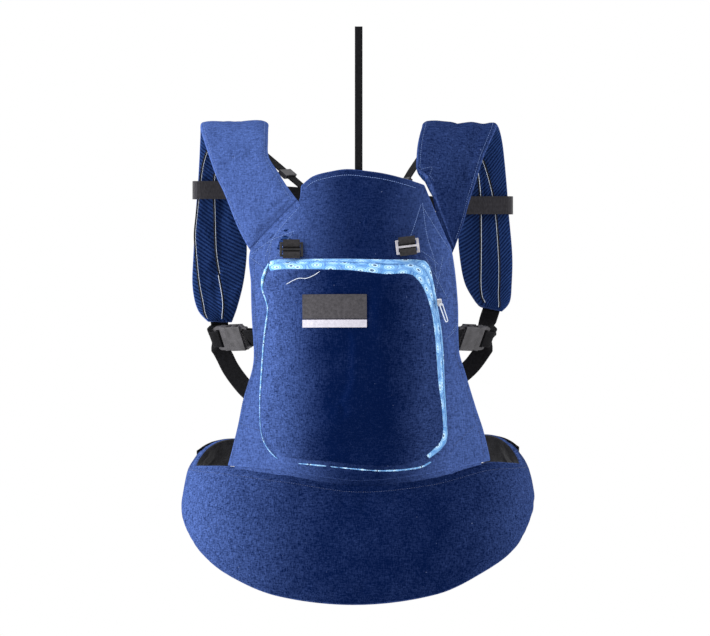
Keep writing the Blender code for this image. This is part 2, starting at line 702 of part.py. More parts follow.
adjuster("left", [(-146, -42, 457), (-124, -52, 438), (-102, -66, 419), (-80, -80, 400), (-58, -88, 381)],
         (.25, .9, .3), .56)
adjuster("right", [(99, -36, 458), (90, -48, 444), (78, -60, 426), (67, -76, 408), (56, -86, 390)],
         (-.3, .9, .2), .84)

# Hanging loop behind the headrest ---------------------------------------------------------------

HANG_TOP = 610
ribbon("hang_strap",
       [((1, -106.6, 391), (1, 0, 0)), ((1, -106.6, 500), (1, 0, 0)), ((1, -106.6, HANG_TOP - 4), (1, 0, 0)),
        ((1, -105.6, HANG_TOP - 1.2), (1, 0, 0)), ((1, -104.2, HANG_TOP - .6), (1, 0, 0)),
        ((1, -102.8, HANG_TOP - 1.2), (1, 0, 0)), ((1, -101.8, HANG_TOP - 4), (1, 0, 0)),
        ((1, -101.8, 500), (1, 0, 0)), ((1, -101.8, 391), (1, 0, 0))], 10.5, BLACK, 1.2)

# Front pocket -------------------------------------------------------------------------------------

pocket_left, pocket_right = track(POCKET_LEFT), track(POCKET_RIGHT)
pocket_low = track([(-104, 30), (-94, 27), (-45, 22), (30, 15), (75, 20), (92, 29)])
pocket_top = track([(-117, 280), (-104, 282), (-60, 281.5), (-10, 280), (35, 275), (60, 276), (70, 274)])


def ease(t):
    t = min(max(t, 0), 1)
    return t * t * (3 - 2 * t)


def pocket_lift(x, z):
    """How far the pocket's face stands in front of the panel."""
    u = (x - pocket_left(z)) / (pocket_right(z) - pocket_left(z))
    v = (z - 30) / 249
    return 2 + POCKET_DEPTH * ease((u + .2 * max(v, 0) ** 4) / .4) * ease(v / .3) * (1 - .25 * max(v, 0) ** 6)


def pocket_place(u, v):
    level = 30 + v * 246
    x = pocket_left(level) * (1 - u) + pocket_right(level) * u
    z = level + (pocket_low(x) - 30) * (1 - v) ** 4 + (pocket_top(x) - 276) * v ** 6
    return x, z


def pocket(u, v):
    x, z = pocket_place(u, v)
    return on_panel(x, z, pocket_lift(x, z))


POCKET_US = [0, .05, .12, .2, .3, .42, .55, .68, .8, .9, .96, 1]
POCKET_VS = [0, .05, .12, .2, .3, .42, .55, .68, .8, .88, .95, 1]
slab("pocket_front", pocket, POCKET_US, POCKET_VS, constant(0), constant(FABRIC), DENIM)


def gusset_point(t, across):
    inner, outer = gusset_inner(t), gusset_outer(t)
    flat = inner.lerp(outer, across)
    inner_lift = pocket_lift(inner.x, inner.z) - 1.6
    return on_panel(flat.x, flat.z, inner_lift * (1 - across) + 2.2 * across)


gusset_inner = straight([(i / (len(POCKET_RING) - 1), Vector((p[0], 0, p[1])))
                         for i, (p, _) in enumerate(POCKET_RING)])
gusset_outer = straight([(i / (len(POCKET_RING) - 1), Vector((p[0], 0, p[1])))
                         for i, (_, p) in enumerate(POCKET_RING)])
GUSSET_TS = [i / 30 for i in range(31)]
slab("pocket_gusset", lambda u, v: gusset_point(v, u), [0, .35, .7, 1], GUSSET_TS,
     constant(-.5), constant(.5), PRINT)

PIPING = [(-121, 291), (-127, 274), (-129, 257), (-124, 240), (-122.5, 226), (-127.5, 186), (-131.5, 131),
          (-133.5, 97), (-131.5, 60), (-122, 38), (-106, 23), (-94, 20.5), (-45, 16), (30, 9.5), (80, 13), (99, 21)]
piping = through([(x, 0, z) for x, z in PIPING])
cord("pocket_piping", [on_panel(piping(i / 44).x, piping(i / 44).z, 2.3) for i in range(45)], 1.5, PALE, 1)

# Zip along the gusset: teeth, slider and its pull ------------------------------------------------


def zip_point(t, lift):
    return gusset_point(t, .7) - normal_of(lambda u, v: gusset_point(v, u), .7, t) * lift


ZIP_SIDE = math.copysign(1, (zip_point(.5, 1) - zip_point(.5, 0)).y) * -1
cord("zip_teeth", [zip_point(.05 + .8 * i / 40, ZIP_SIDE * 2.2) for i in range(41)], 1.1, PRINT, 1)
slider_at = zip_point(7.7 / 15, ZIP_SIDE * 8.2)
slider_end = zip_point(9.7 / 15, ZIP_SIDE * 8.2)
slider_frame = frame_at(slider_at, slider_end - slider_at, (0, 1, 0))
slider = block("zip_slider", (-5, -2.2, -3.4), (5, 2.2, 3.4), slider_frame, GREY)
soften(slider, 0.7, 1)


def pull_loop(name, top, bottom, width, radius):
    """A long thin loop of cord, closed on itself."""
    along = bottom - top
    out = (on_panel(top.x, top.z, 1) - on_panel(top.x, top.z, 0)).normalized()
    aside = along.cross(out).normalized() * width / 2
    ring = [top - aside, top - aside * .6 - along * .05, top + aside * .6 - along * .05, top + aside,
            bottom + aside * .8, bottom + aside * .3 + along * .05, bottom - aside * .3 + along * .05,
            bottom - aside * .8]
    item = cord(name, ring, radius, PALE, 1)
    item.data.splines[0].use_cyclic_u = True
    return item


pull_top = slider_at + (slider_at - slider_end).normalized() * -3 + Vector((2, -4.2, 0))
pull_loop("zip_pull", pull_top, pull_top + Vector((7.5, 1.5, -22)), 4.6, .8)

LABEL = ((-70, 215.5), (11, 248))
LABEL_STRIP = ((-70, 204), (11, 214.3))


def patch(name, box, colour):
    (x0, z0), (x1, z1) = box

    def face(u, v):
        x, z = x0 + (x1 - x0) * u, z0 + (z1 - z0) * v
        return on_panel(x, z, pocket_lift(x, z) + FABRIC + 0.7)

    slab(name, face, [i / 6 for i in range(7)], [0, .5, 1], constant(0), constant(0.8), colour)


patch("label", LABEL, BLACK)
patch("label_strip", LABEL_STRIP, GREY)

# Hood fasteners above the pocket: a loop of ribbed webbing that holds a small ladder lock -------


def hood_fastener(side, x, z, tilt):
    centre = on_panel(x, z, 7.6)
    out = on_panel(x, z, 8.6) - centre
    right = Vector((math.cos(tilt), 0, math.sin(tilt)))
    frame = frame_at(centre, right, out.cross(right) * -1)
    # Local Y runs up the panel and local Z out of it.
    outline = (-16, -10), (16, 10)
    lock = block(f"hood_lock_{side}", (*outline[0], -1.6), (*outline[1], 1.6), frame, PLASTIC)
    soften(lock, 0.8)
    for name, low, high in (("upper", 1.4, 7.2), ("lower", -7.2, -1.4)):
        combine(lock, block(f"hood_lock_{side}_{name}", (-12.6, low, -5), (12.6, high, 5), frame), "DIFFERENCE")
    up = (0, 1)
    drop = -4.9
    local = [(13, drop), (7.5, drop), (4.4, drop * .75), (3.3, 0), (2.2, 2.7), (0, 3.2),
             (-2.2, 2.7), (-3.3, 0), (-4.4, drop * .75), (-7.5, drop), (-13, drop)]
    ribbon(f"hood_loop_{side}", [(frame @ Vector((0, y, h)), right) for y, h in local], 23, BLACK, 1.2)
    return frame


hood_fastener("left", -88, 309, 0)
hood_fastener("right", 65.5, 313, .12)
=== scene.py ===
"""Looks of the soft baby carrier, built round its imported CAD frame.

Lengths in the tables below are in millimetres; meshes are made in metres. X runs to the right as the
panel's outer face is looked at, Z is up and the outer face points to -Y, as in the frame.
"""

import math

import bpy
import numpy as np
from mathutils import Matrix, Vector
from mathutils.bvhtree import BVHTree


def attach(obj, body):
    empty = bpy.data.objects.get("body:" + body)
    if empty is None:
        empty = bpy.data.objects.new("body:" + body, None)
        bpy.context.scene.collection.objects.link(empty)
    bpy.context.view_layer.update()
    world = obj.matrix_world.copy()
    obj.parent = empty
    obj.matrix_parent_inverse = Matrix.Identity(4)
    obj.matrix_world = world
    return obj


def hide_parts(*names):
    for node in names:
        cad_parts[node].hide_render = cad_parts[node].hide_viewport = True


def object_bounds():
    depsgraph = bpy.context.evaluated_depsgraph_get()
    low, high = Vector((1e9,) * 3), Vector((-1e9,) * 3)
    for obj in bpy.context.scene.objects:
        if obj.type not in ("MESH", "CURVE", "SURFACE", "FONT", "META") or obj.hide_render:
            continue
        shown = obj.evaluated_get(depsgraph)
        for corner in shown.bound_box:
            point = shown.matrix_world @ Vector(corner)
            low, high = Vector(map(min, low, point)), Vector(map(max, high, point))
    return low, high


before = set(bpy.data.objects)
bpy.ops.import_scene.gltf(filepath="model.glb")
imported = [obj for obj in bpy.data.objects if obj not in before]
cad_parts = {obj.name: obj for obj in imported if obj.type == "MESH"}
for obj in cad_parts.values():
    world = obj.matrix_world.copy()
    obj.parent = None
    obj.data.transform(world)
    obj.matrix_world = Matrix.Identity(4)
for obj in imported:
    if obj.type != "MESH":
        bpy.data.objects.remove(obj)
CAD_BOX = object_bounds()
MM = 0.001

# Layer sizes, as in the frame.
FABRIC, GAP = 1.2, .35
STRAP_PAD, WAIST_PAD, PANEL_PAD = 5.6, 6.5, 6.0
WEBBING, BELT_WEBBING, WEBBING_THICK = 25.0, 36.0, 1.3
SIDE_SCALE, WAIST_SCALE, BAR_HALF = 1.0, 1.45, 2.2
WAIST_TOP, WAIST_BOTTOM, WAIST_END = (226.0, 122.0), (240.0, 134.0), 133.0
PANEL_TOP, PANEL_NECK, FOOT_BLEND = 398.0, 330.0, 110.0
POCKET_WIDTH, POCKET_HEIGHT, POCKET_DEPTH = 220.0, 250.0, 16.0
POCKET_FOOT, POCKET_RISE, POCKET_SPAN = 30.0, 246.0, 249.0
RAIL_SAMPLES, PIPING_SAMPLES, STITCH_SAMPLES, HEM_SAMPLES = 240, 260, 260, 420

LEFT_EDGE = [(0, -179), (24, -174), (68, -165), (108, -157), (148, -145), (172, -143), (222, -146),
             (264, -147), (309, -148), (330, -128), (352, -106), (377, -82), (398, -78)]
RIGHT_EDGE = [(0, 182), (24, 179), (61, 172), (98, 161), (144, 147), (172, 139), (241, 137),
              (309, 129), (330, 120), (352, 110.6), (377, 100), (398, 91)]
TOP_EDGE = [(-78, 398), (-62, 411), (-37, 418), (-15, 421), (8, 419), (36, 415), (64, 408), (92, 399)]
BOTTOM_SEAM = [(-190, 15), (-102, 7), (-1, -6), (89, 2), (182, 21)]
PANEL_DEPTH = [(-10, -124), (60, -139), (150, -150), (250, -149), (330, -137), (398, -119), (425, -111)]
PANEL_SAG = [(-10, .0014), (60, .0018), (150, .0024), (300, .0021), (425, .0022)]
LEFT_STRAP = [
    ((-148.6, -97, 311), (-83.2, -111, 378.6)),
    ((-164, -88, 340), (-96, -103, 396)),
    ((-182, -81, 385), (-110, -94, 418)),
    ((-195, -73, 413), (-122, -83, 438)),
    ((-208, -61, 450), (-123, -69, 462)),
    ((-216, -43, 474), (-123, -47, 476)),
    ((-217, -18, 482), (-124, -20, 482)),
    ((-218, 8, 464), (-138, 12, 464)),
    ((-221, 26, 412), (-151, 36, 412)),
    ((-225, 32, 360), (-155, 44, 360)),
    ((-228, 30, 305), (-154, 42, 308)),
    ((-229, 20, 262), (-158, 30, 268)),
    ((-222, 8, 230), (-166, 14, 234)),
    ((-207, 2, 212), (-174, 6, 211)),
]
RIGHT_STRAP = [
    ((96, -101.5, 403.6), (131.4, -105.5, 310.6)),
    ((90, -97, 412.5), (144, -96, 346)),
    ((80.5, -91, 421), (152, -88, 374)),
    ((80, -84, 436), (160, -80, 398)),
    ((82, -71, 456), (172, -67, 436)),
    ((87, -49, 476), (188, -47, 472)),
    ((92, -20, 482), (193, -18, 481)),
    ((118, 12, 462), (200, 8, 458)),
    ((134, 36, 408), (206, 26, 404)),
    ((138, 44, 362), (209, 32, 364)),
    ((140, 42, 312), (214, 30, 305)),
    ((147, 30, 268), (213, 20, 264)),
    ((160, 14, 243), (210, 8, 240)),
    ((169, 6, 234), (199, 2, 226)),
]
STATIONS = len(LEFT_STRAP) - 1
POCKET_LEFT = [(30, -104), (60, -128), (97, -130), (131, -128), (186, -124), (228, -119),
               (255, -126), (279, -117)]
POCKET_RIGHT = [(30, 92), (46, 108), (58, 113), (97, 106.9), (128, 102), (159, 99.6), (190, 97.5),
                (225, 93.4), (252, 86), (266, 79), (276, 70)]
POCKET_RING = [
    ((-116, 280), (-120, 290)), ((-104, 281), (-112, 296)), ((-60, 281), (-60, 297)),
    ((-10, 279), (-10, 297)), ((35, 274), (40, 296)), ((64, 274), (80, 296)),
    ((76, 266), (94, 291)), ((84, 252), (101, 270)), ((91.4, 225), (109, 225)),
    ((95.5, 190), (114, 190)), ((97.6, 159), (116, 159)), ((100, 128), (117, 128)),
    ((104.9, 97), (118, 97)), ((111, 60), (121, 56)), ((105, 46), (114, 40)), ((90, 32), (97, 26)),
]
PIPING = [(-121, 291), (-127, 274), (-129, 257), (-124, 240), (-122.5, 226), (-127.5, 186), (-131.5, 131),
          (-133.5, 97), (-131.5, 60), (-122, 38), (-106, 23), (-94, 20.5), (-45, 16), (30, 9.5), (80, 13), (99, 21)]
RAIL_LEFT = [(-.03, 12.9), (.13, 12), (.11, 11), (.03, 10), (-.01, 9.5), (0, 9), (.03, 8), (.08, 7.5),
             (.16, 7.2), (.25, 7.15), (.31, 7.35), (.31, 7.7), (.29, 8.1), (.35, 9), (.4, 10), (.53, 11),
             (.64, 12), (.6, 12.9)]
RAIL_RIGHT = [(.85, 12.9), (.72, 12), (.76, 11), (.77, 10), (.775, 9), (.72, 8.1), (.66, 7.6), (.6, 7.3),
              (.54, 7.3), (.49, 7.6), (.48, 8.1), (.465, 9), (.42, 10), (.35, 11), (.22, 12), (.18, 12.9)]
RAIL_RADIUS = 1.2


# Curves and surfaces ------------------------------------------------------------------------------

def track(keys):
    """A smooth function through (position, value) pairs, for arrays of positions."""
    at = np.array([k for k, _ in keys], float)
    value = np.array([v for _, v in keys], float).reshape(len(at), -1)
    index = np.arange(len(at))
    low, high = np.maximum(index - 1, 0), np.minimum(index + 1, len(at) - 1)
    slope = (value[high] - value[low]) / (at[high] - at[low])[:, None]

    def read(t):
        t = np.clip(np.asarray(t, float), at[0], at[-1])
        i = np.clip(np.searchsorted(at, t, side="right") - 1, 0, len(at) - 2)
        span = (at[i + 1] - at[i])[..., None]
        s = (t - at[i])[..., None] / span
        out = value[i] * (2 * s**3 - 3 * s**2 + 1) + slope[i] * span * (s**3 - 2 * s**2 + s)
        out = out + value[i + 1] * (3 * s**2 - 2 * s**3) + slope[i + 1] * span * (s**3 - s**2)
        return out[..., 0] if value.shape[1] == 1 else out

    return read


def through(points):
    """A smooth path through evenly numbered points, for t from 0 to 1."""
    last = len(points) - 1
    return track([(i / last, p) for i, p in enumerate(points)])


def dome(t, ramp):
    """Rises from 0 at both ends of 0..1 to 1 over a ramp, as a quarter round."""
    edge = np.minimum(np.minimum(t, 1 - t) / ramp, 1)
    return np.sqrt(np.clip(1 - (1 - edge) ** 2, 0, 1))


def ease(t):
    """A smooth step from 0 to 1."""
    t = np.clip(t, 0, 1)
    return t * t * (3 - 2 * t)


def bump(t, centre, width):
    """A soft hump of height 1."""
    return np.exp(-((t - centre) / width) ** 2)


def unit(v):
    return v / np.maximum(np.linalg.norm(v, axis=-1, keepdims=True), 1e-12)


def normal_of(surface, u, v):
    step = .004
    along_u = surface(np.minimum(u + step, 1), v) - surface(np.maximum(u - step, 0), v)
    along_v = surface(u, np.minimum(v + step, 1)) - surface(u, np.maximum(v - step, 0))
    return unit(np.cross(along_u, along_v))


NOISE = np.random.RandomState(7).rand(32, 32, 32) * 2 - 1


def rumple(p, size, seed=0):
    """Smooth noise from -1 to 1 at points in millimetres; size is one number or three."""
    q = np.asarray(p, float) / np.asarray(size, float) + seed * 5.37
    low = np.floor(q).astype(int)
    f = q - low
    f = f * f * (3 - 2 * f)
    total = 0
    for corner in range(8):
        bits = [(corner >> k) & 1 for k in range(3)]
        cell = [(low[..., k] + bits[k]) % 32 for k in range(3)]
        weight = np.ones(f.shape[:-1])
        for k in range(3):
            weight = weight * (f[..., k] if bits[k] else 1 - f[..., k])
        total = total + weight * NOISE[cell[0], cell[1], cell[2]]
    return total


left_edge, right_edge = track(LEFT_EDGE), track(RIGHT_EDGE)
top_edge, bottom_seam = track(TOP_EDGE), track(BOTTOM_SEAM)
panel_depth, panel_sag = track(PANEL_DEPTH), track(PANEL_SAG)


def panel_y(x, z):
    return panel_depth(z) + panel_sag(z) * x * x


def on_panel(x, z, lift):
    """The points this far in front of the panel's outer face."""
    x, z = np.asarray(x, float), np.asarray(z, float)
    slope_x = (panel_y(x + 1, z) - panel_y(x - 1, z)) / 2
    slope_z = (panel_y(x, z + 1) - panel_y(x, z - 1)) / 2
    out = unit(np.stack([slope_x, -np.ones_like(slope_x), slope_z], -1))
    return np.stack([x, panel_y(x, z), z], -1) + out * np.asarray(lift)[..., None]


def panel(u, v):
    level = v * PANEL_TOP
    low = np.maximum(1 - level / FOOT_BLEND, 0) ** 2
    high = np.maximum((level - PANEL_NECK) / (PANEL_TOP - PANEL_NECK), 0) ** 2
    x = left_edge(level) * (1 - u) + right_edge(level) * u
    z = level + (bottom_seam(x) + .6) * low + (top_edge(x) - PANEL_TOP) * high
    return np.stack([x, panel_y(x, z), z], -1)


def panel_pad(u, v):
    side, level = np.minimum(u, 1 - u), v * PANEL_TOP
    legs = dome(np.clip((side - .03) / .135, 0, 1), .35) * dome(np.clip((level - 50) / 218, 0, 1), .15)
    head = dome(np.clip((u - .12) / .76, 0, 1), .2) * dome(np.clip((level - PANEL_NECK) / 53, 0, 1), .4)
    return PANEL_PAD * np.maximum(legs, head)


waist_top_z = track([(-133, 50), (-122, 47), (-112, 38), (-100, 22), (-90, 14), (-70, 14), (-51, 14),
                     (-26, 6), (0, -7), (25, 1), (50, 19), (70, 18), (90, 16), (100, 26), (112, 43),
                     (122, 53), (133, 56)])
waist_low_z = track([(-133, 12), (-120, 2), (-105, -20), (-90, -50), (-76, -80), (-64, -106),
                     (-47.5, -136), (-27, -163), (0, -174), (27, -160), (46, -131), (64, -100),
                     (76, -72), (90, -42), (105, -14), (120, 8), (133, 16)])
waist_tuck = track([(-133, 0), (-100, 2), (-60, 8), (0, 10), (60, 8), (100, 2), (133, 0)])


def waist(u, v):
    """The waistband's middle surface: u round the body, v from the hem to the top."""
    turn = (2 * u - 1) * WAIST_END
    angle = np.radians(turn)
    bulge = np.sin(np.pi * v) * waist_tuck(turn)
    half_x = WAIST_BOTTOM[0] + (WAIST_TOP[0] - WAIST_BOTTOM[0]) * v - 2 + bulge * .4
    half_y = WAIST_BOTTOM[1] + (WAIST_TOP[1] - WAIST_BOTTOM[1]) * v - 4 + bulge
    z = waist_low_z(turn) * (1 - v) + waist_top_z(turn) * v
    return np.stack([half_x * np.sin(angle), -half_y * np.cos(angle), z], -1)


def waist_pad(u, v):
    return .2 + WAIST_PAD * dome(u, .05) * dome(v, .22)


def strap_surface(stations):
    west = through([a for a, _ in stations])
    east = through([b for _, b in stations])
    return lambda u, v: west(v) * (1 - u)[..., None] + east(v) * u[..., None]


strap_deep = track([(0, 0), (6.5 / STATIONS, 0), (8 / STATIONS, .45), (11 / STATIONS, .6), (1, .2)])


def strap_pad(u, v):
    return .2 + STRAP_PAD * dome(u, .2) * dome(v, .05)


def strap_groove(u, v):
    return strap_pad(u, v) * (1 - strap_deep(v) * np.maximum(1 - np.abs(u - .5) / .17, 0))


left_strap, right_strap = strap_surface(LEFT_STRAP), strap_surface(RIGHT_STRAP)

pocket_left, pocket_right = track(POCKET_LEFT), track(POCKET_RIGHT)
pocket_low = track([(-104, 30), (-94, 27), (-45, 22), (30, 15), (75, 20), (92, 29)])
pocket_top = track([(-117, 280), (-104, 282), (-60, 281.5), (-10, 280), (35, 275), (60, 276), (70, 274)])


def pocket_lift(x, z):
    u = (x - pocket_left(z)) / (pocket_right(z) - pocket_left(z))
    v = (z - POCKET_FOOT) / POCKET_SPAN
    rise = ease((u + .2 * np.maximum(v, 0) ** 4) / .4) * ease(v / .3)
    return 2 + POCKET_DEPTH * rise * (1 - .25 * np.maximum(v, 0) ** 6)


def pocket(u, v):
    level = POCKET_FOOT + v * POCKET_RISE
    x = pocket_left(level) * (1 - u) + pocket_right(level) * u
    z = level + (pocket_low(x) - POCKET_FOOT) * (1 - v) ** 4
    z = z + (pocket_top(x) - POCKET_FOOT - POCKET_RISE) * v ** 6
    return on_panel(x, z, pocket_lift(x, z))


RING_TS = [i / (len(POCKET_RING) - 1) for i in range(len(POCKET_RING))]
gusset_inner = track([(t, p) for t, (p, _) in zip(RING_TS, POCKET_RING)])
gusset_outer = track([(t, p) for t, (_, p) in zip(RING_TS, POCKET_RING)])


def gusset(u, v):
    """The pocket's side band: u across it from the face to the panel, v along it."""
    inner, outer = gusset_inner(v), gusset_outer(v)
    flat = inner * (1 - u)[..., None] + outer * u[..., None]
    lift = (pocket_lift(inner[..., 0], inner[..., 1]) - 1.2) * (1 - u) + 1.6 * u
    return on_panel(flat[..., 0], flat[..., 1], lift)


# Meshes -------------------------------------------------------------------------------------------

def make(name, points, faces, materials, indices=None, attributes=None):
    mesh = bpy.data.meshes.new(name)
    mesh.from_pydata([tuple(p) for p in np.asarray(points) * MM], [], faces)
    for material in materials:
        mesh.materials.append(material)
    if indices is not None:
        mesh.polygons.foreach_set("material_index", np.asarray(indices, np.int32))
    for key, values in (attributes or {}).items():
        store = mesh.attributes.new(key, "FLOAT_VECTOR", "POINT")
        store.data.foreach_set("vector", np.asarray(values, np.float32).ravel())
    mesh.shade_smooth()
    item = bpy.data.objects.new(name, mesh)
    bpy.context.scene.collection.objects.link(item)
    return item


def grid_faces(columns, rows):
    """The four-sided faces of a grid of points, row by row."""
    a = (np.arange(rows - 1)[:, None] * columns + np.arange(columns - 1)[None]).ravel()
    return np.stack([a, a + 1, a + columns + 1, a + columns], 1)


def rim_of(columns, rows):
    """The grid's outer points, in order round it."""
    rim = list(range(columns)) + [j * columns + columns - 1 for j in range(1, rows)]
    rim += [(rows - 1) * columns + i for i in range(columns - 2, -1, -1)]
    return rim + [j * columns for j in range(rows - 2, 0, -1)]


def points_of(item):
    """The mesh's points, in mm."""
    co = np.empty(len(item.data.vertices) * 3)
    item.data.vertices.foreach_get("co", co)
    return co.reshape(-1, 3) / MM


def set_points(item, points):
    item.data.vertices.foreach_set("co", (points * MM).ravel())
    item.data.update()


def shell(name, outer, inner, columns, rows, material, place):
    """A thin closed piece between two matching grids of points."""
    count = len(outer)
    faces = grid_faces(columns, rows)
    rim = np.array(rim_of(columns, rows))
    after = np.roll(rim, -1)
    walls = np.stack([rim, rim + count, after + count, after], 1)
    return make(name, np.concatenate([outer, inner]),
                np.concatenate([faces, faces[:, ::-1] + count, walls]).tolist(),
                [material], None, {"place": np.concatenate([place, place])})


def show(item, body_name, *nodes, slot="webbing"):
    """Ties a piece to the body it moves with and hides the frame's nodes it stands for. slot is not used."""
    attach(item, body_name)
    if nodes:
        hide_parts(*nodes)


class Pad:
    """A closed sewn piece on a surface: a front and a back sheet that meet at the rim."""

    def __init__(self, name, surface, columns, rows, front, back, materials):
        self.surface, self.columns, self.rows = surface, columns, rows
        u, v = np.meshgrid(np.linspace(0, 1, columns), np.linspace(0, 1, rows))
        self.u, self.v = u.ravel(), v.ravel()
        self.middle = surface(self.u, self.v)
        self.normal = normal_of(surface, self.u, self.v)
        grid = self.middle.reshape(rows, columns, 3)
        across = np.linalg.norm(np.diff(grid, axis=1), axis=2)
        along = np.linalg.norm(np.diff(grid, axis=0), axis=2)
        self.across = np.concatenate([np.zeros((rows, 1)), np.cumsum(across, 1)], 1)
        self.along = np.concatenate([np.zeros((1, columns)), np.cumsum(along, 0)], 0)
        width, height = self.across[:, -1:], self.along[-1:]
        edge = np.minimum(np.minimum(self.across, width - self.across),
                          np.minimum(self.along, height - self.along))
        self.edge = edge.ravel()
        self.across, self.along = self.across.ravel(), self.along.ravel()
        count = columns * rows
        points = np.concatenate([self.middle + self.normal * front(self.u, self.v)[:, None],
                                 self.middle + self.normal * back(self.u, self.v)[:, None]])
        sheet = grid_faces(columns, rows)
        rim = np.array(rim_of(columns, rows))
        after = np.roll(rim, -1)
        walls = np.stack([rim, rim + count, after + count, after], 1)
        faces = np.concatenate([sheet, sheet[:, ::-1] + count, walls])
        index = [0] * len(sheet) + [1] * len(sheet) + [0] * len(walls)
        place = np.stack([self.across, self.along, self.edge], 1)
        self.item = make(name, points, faces.tolist(), materials, index,
                         {"place": np.concatenate([place, place])})
        self.rim = np.concatenate([rim, rim + count])

    def push(self, front, back):
        """Moves the front sheet and the back sheet along the surface's normal."""
        count = self.columns * self.rows
        points = points_of(self.item)
        points[:count] += self.normal * front[:, None]
        points[count:] += self.normal * back[:, None]
        set_points(self.item, points)


def swell(jobs):
    """Runs all the cloth at once: each job is a piece, its pinned points, pressure, slack, cap in mm and stiffness.

    The cap limits how far a point may end from its start, so that the cloth stays near the frame's surface.
    """
    scene, frames = bpy.context.scene, 20
    starts = []
    for item, pinned, pressure, slack, _, stiffness in jobs:
        group = item.vertex_groups.new(name="pinned")
        group.add([int(i) for i in pinned], 1, "REPLACE")
        cloth = item.modifiers.new("cloth", "CLOTH")
        settings = cloth.settings
        settings.quality = 5
        settings.mass = .25
        settings.tension_stiffness = settings.compression_stiffness = 20
        settings.shear_stiffness = 8
        settings.bending_stiffness = stiffness
        settings.vertex_group_mass = "pinned"
        settings.use_pressure = True
        settings.uniform_pressure_force = pressure
        settings.shrink_min = -slack
        settings.effector_weights.gravity = 0
        cloth.collision_settings.use_collision = False
        cloth.point_cache.frame_start, cloth.point_cache.frame_end = 1, frames
        starts.append(points_of(item))
    scene.frame_start, scene.frame_end = 1, frames
    for step in range(1, frames + 1):
        scene.frame_set(step)
    graph = bpy.context.evaluated_depsgraph_get()
    results = []
    for item, *_ in jobs:
        mesh = item.evaluated_get(graph).to_mesh()
        co = np.empty(len(mesh.vertices) * 3)
        mesh.vertices.foreach_get("co", co)
        item.evaluated_get(graph).to_mesh_clear()
        results.append(co.reshape(-1, 3) / MM)
    for (item, _, _, _, cap, _), start, moved in zip(jobs, starts, results):
        shift = moved - start
        shift[~np.isfinite(shift).all(axis=1)] = 0
        size = np.linalg.norm(shift, axis=1, keepdims=True)
        shift *= cap * np.tanh(size / cap) / np.maximum(size, 1e-6)
        item.modifiers.clear()
        item.vertex_groups.clear()
        set_points(item, start + shift)
    scene.frame_set(1)


def smooth(item):
    """Applies a subdivision surface to the mesh itself, so that what is measured later is the final mesh."""
    modifier = item.modifiers.new("subdivision", "SUBSURF")
    modifier.levels = modifier.render_levels = 1
    graph = bpy.context.evaluated_depsgraph_get()
    mesh = bpy.data.meshes.new_from_object(item.evaluated_get(graph))
    item.modifiers.clear()
    item.data = mesh
    mesh.shade_smooth()
    return item


def tube(name, points, radius, material, sides=8):
    """A round cord through points in mm; radius is one number or one per point."""
    points = np.asarray(points, float)
    radius = np.broadcast_to(np.asarray(radius, float), (len(points),))
    tangent = unit(np.gradient(points, axis=0))
    side = unit(np.cross(tangent, [0, -1, .02]))
    up = unit(np.cross(tangent, side))
    turns = np.linspace(0, 2 * np.pi, sides, endpoint=False)
    rings = (points[:, None] + radius[:, None, None] * (side[:, None] * np.cos(turns)[None, :, None]
             + up[:, None] * np.sin(turns)[None, :, None]))
    count = len(points)
    faces = []
    for j in range(count - 1):
        for i in range(sides):
            n = (i + 1) % sides
            faces.append((j * sides + i, (j + 1) * sides + i, (j + 1) * sides + n, j * sides + n))
    faces += [tuple(range(sides)), tuple(range(count * sides - 1, (count - 1) * sides - 1, -1))]
    length = np.concatenate([[0], np.cumsum(np.linalg.norm(np.diff(points, axis=0), axis=1))])
    place = np.stack([np.tile(turns, count), np.repeat(length, sides), np.zeros(count * sides)], 1)
    return make(name, rings.reshape(-1, 3), faces, [material], None, {"place": place})


def ribbon(name, path, width, material, thick=WEBBING_THICK, dense=5, ridge=.12):
    """Webbing along (centre, across) pairs, with round selvedges and a faint ridge along each."""
    centres = through([np.array(p, float) for p, _ in path])
    ways = through([unit(np.array(a, float)) for _, a in path])
    t = np.linspace(0, 1, (len(path) - 1) * dense + 1)
    centre, way = centres(t), ways(t)
    along = unit(np.gradient(centre, axis=0))
    side = unit(way - along * (way * along).sum(1, keepdims=True))
    face = np.cross(along, side)
    half = width / 2
    profile = [(-half + .35, -.5), (-half * .86, -.5 - ridge), (-half * .5, -.5), (0, -.5), (half * .5, -.5),
               (half * .86, -.5 - ridge), (half - .35, -.5), (half, 0), (half - .35, .5),
               (half * .86, .5 + ridge), (half * .5, .5), (0, .5), (-half * .5, .5),
               (-half * .86, .5 + ridge), (-half + .35, .5), (-half, 0)]
    size, count = len(profile), len(t)
    across = np.array([p[0] for p in profile])
    up = np.array([p[1] for p in profile]) * thick
    rings = centre[:, None] + side[:, None] * across[None, :, None] + face[:, None] * up[None, :, None]
    faces = []
    for j in range(count - 1):
        for i in range(size):
            n = (i + 1) % size
            faces.append((j * size + i, j * size + n, (j + 1) * size + n, (j + 1) * size + i))
    faces += [tuple(range(size - 1, -1, -1)), tuple(range((count - 1) * size, count * size))]
    length = np.concatenate([[0], np.cumsum(np.linalg.norm(np.diff(centre, axis=0), axis=1))])
    place = np.stack([np.tile(across, count), np.repeat(length, size), np.full(count * size, half)], 1)
    return make(name, rings.reshape(-1, 3), faces, [material], None, {"place": place})


def bvh_of(item):
    return BVHTree.FromPolygons([v.co for v in item.data.vertices], [p.vertices[:] for p in item.data.polygons])


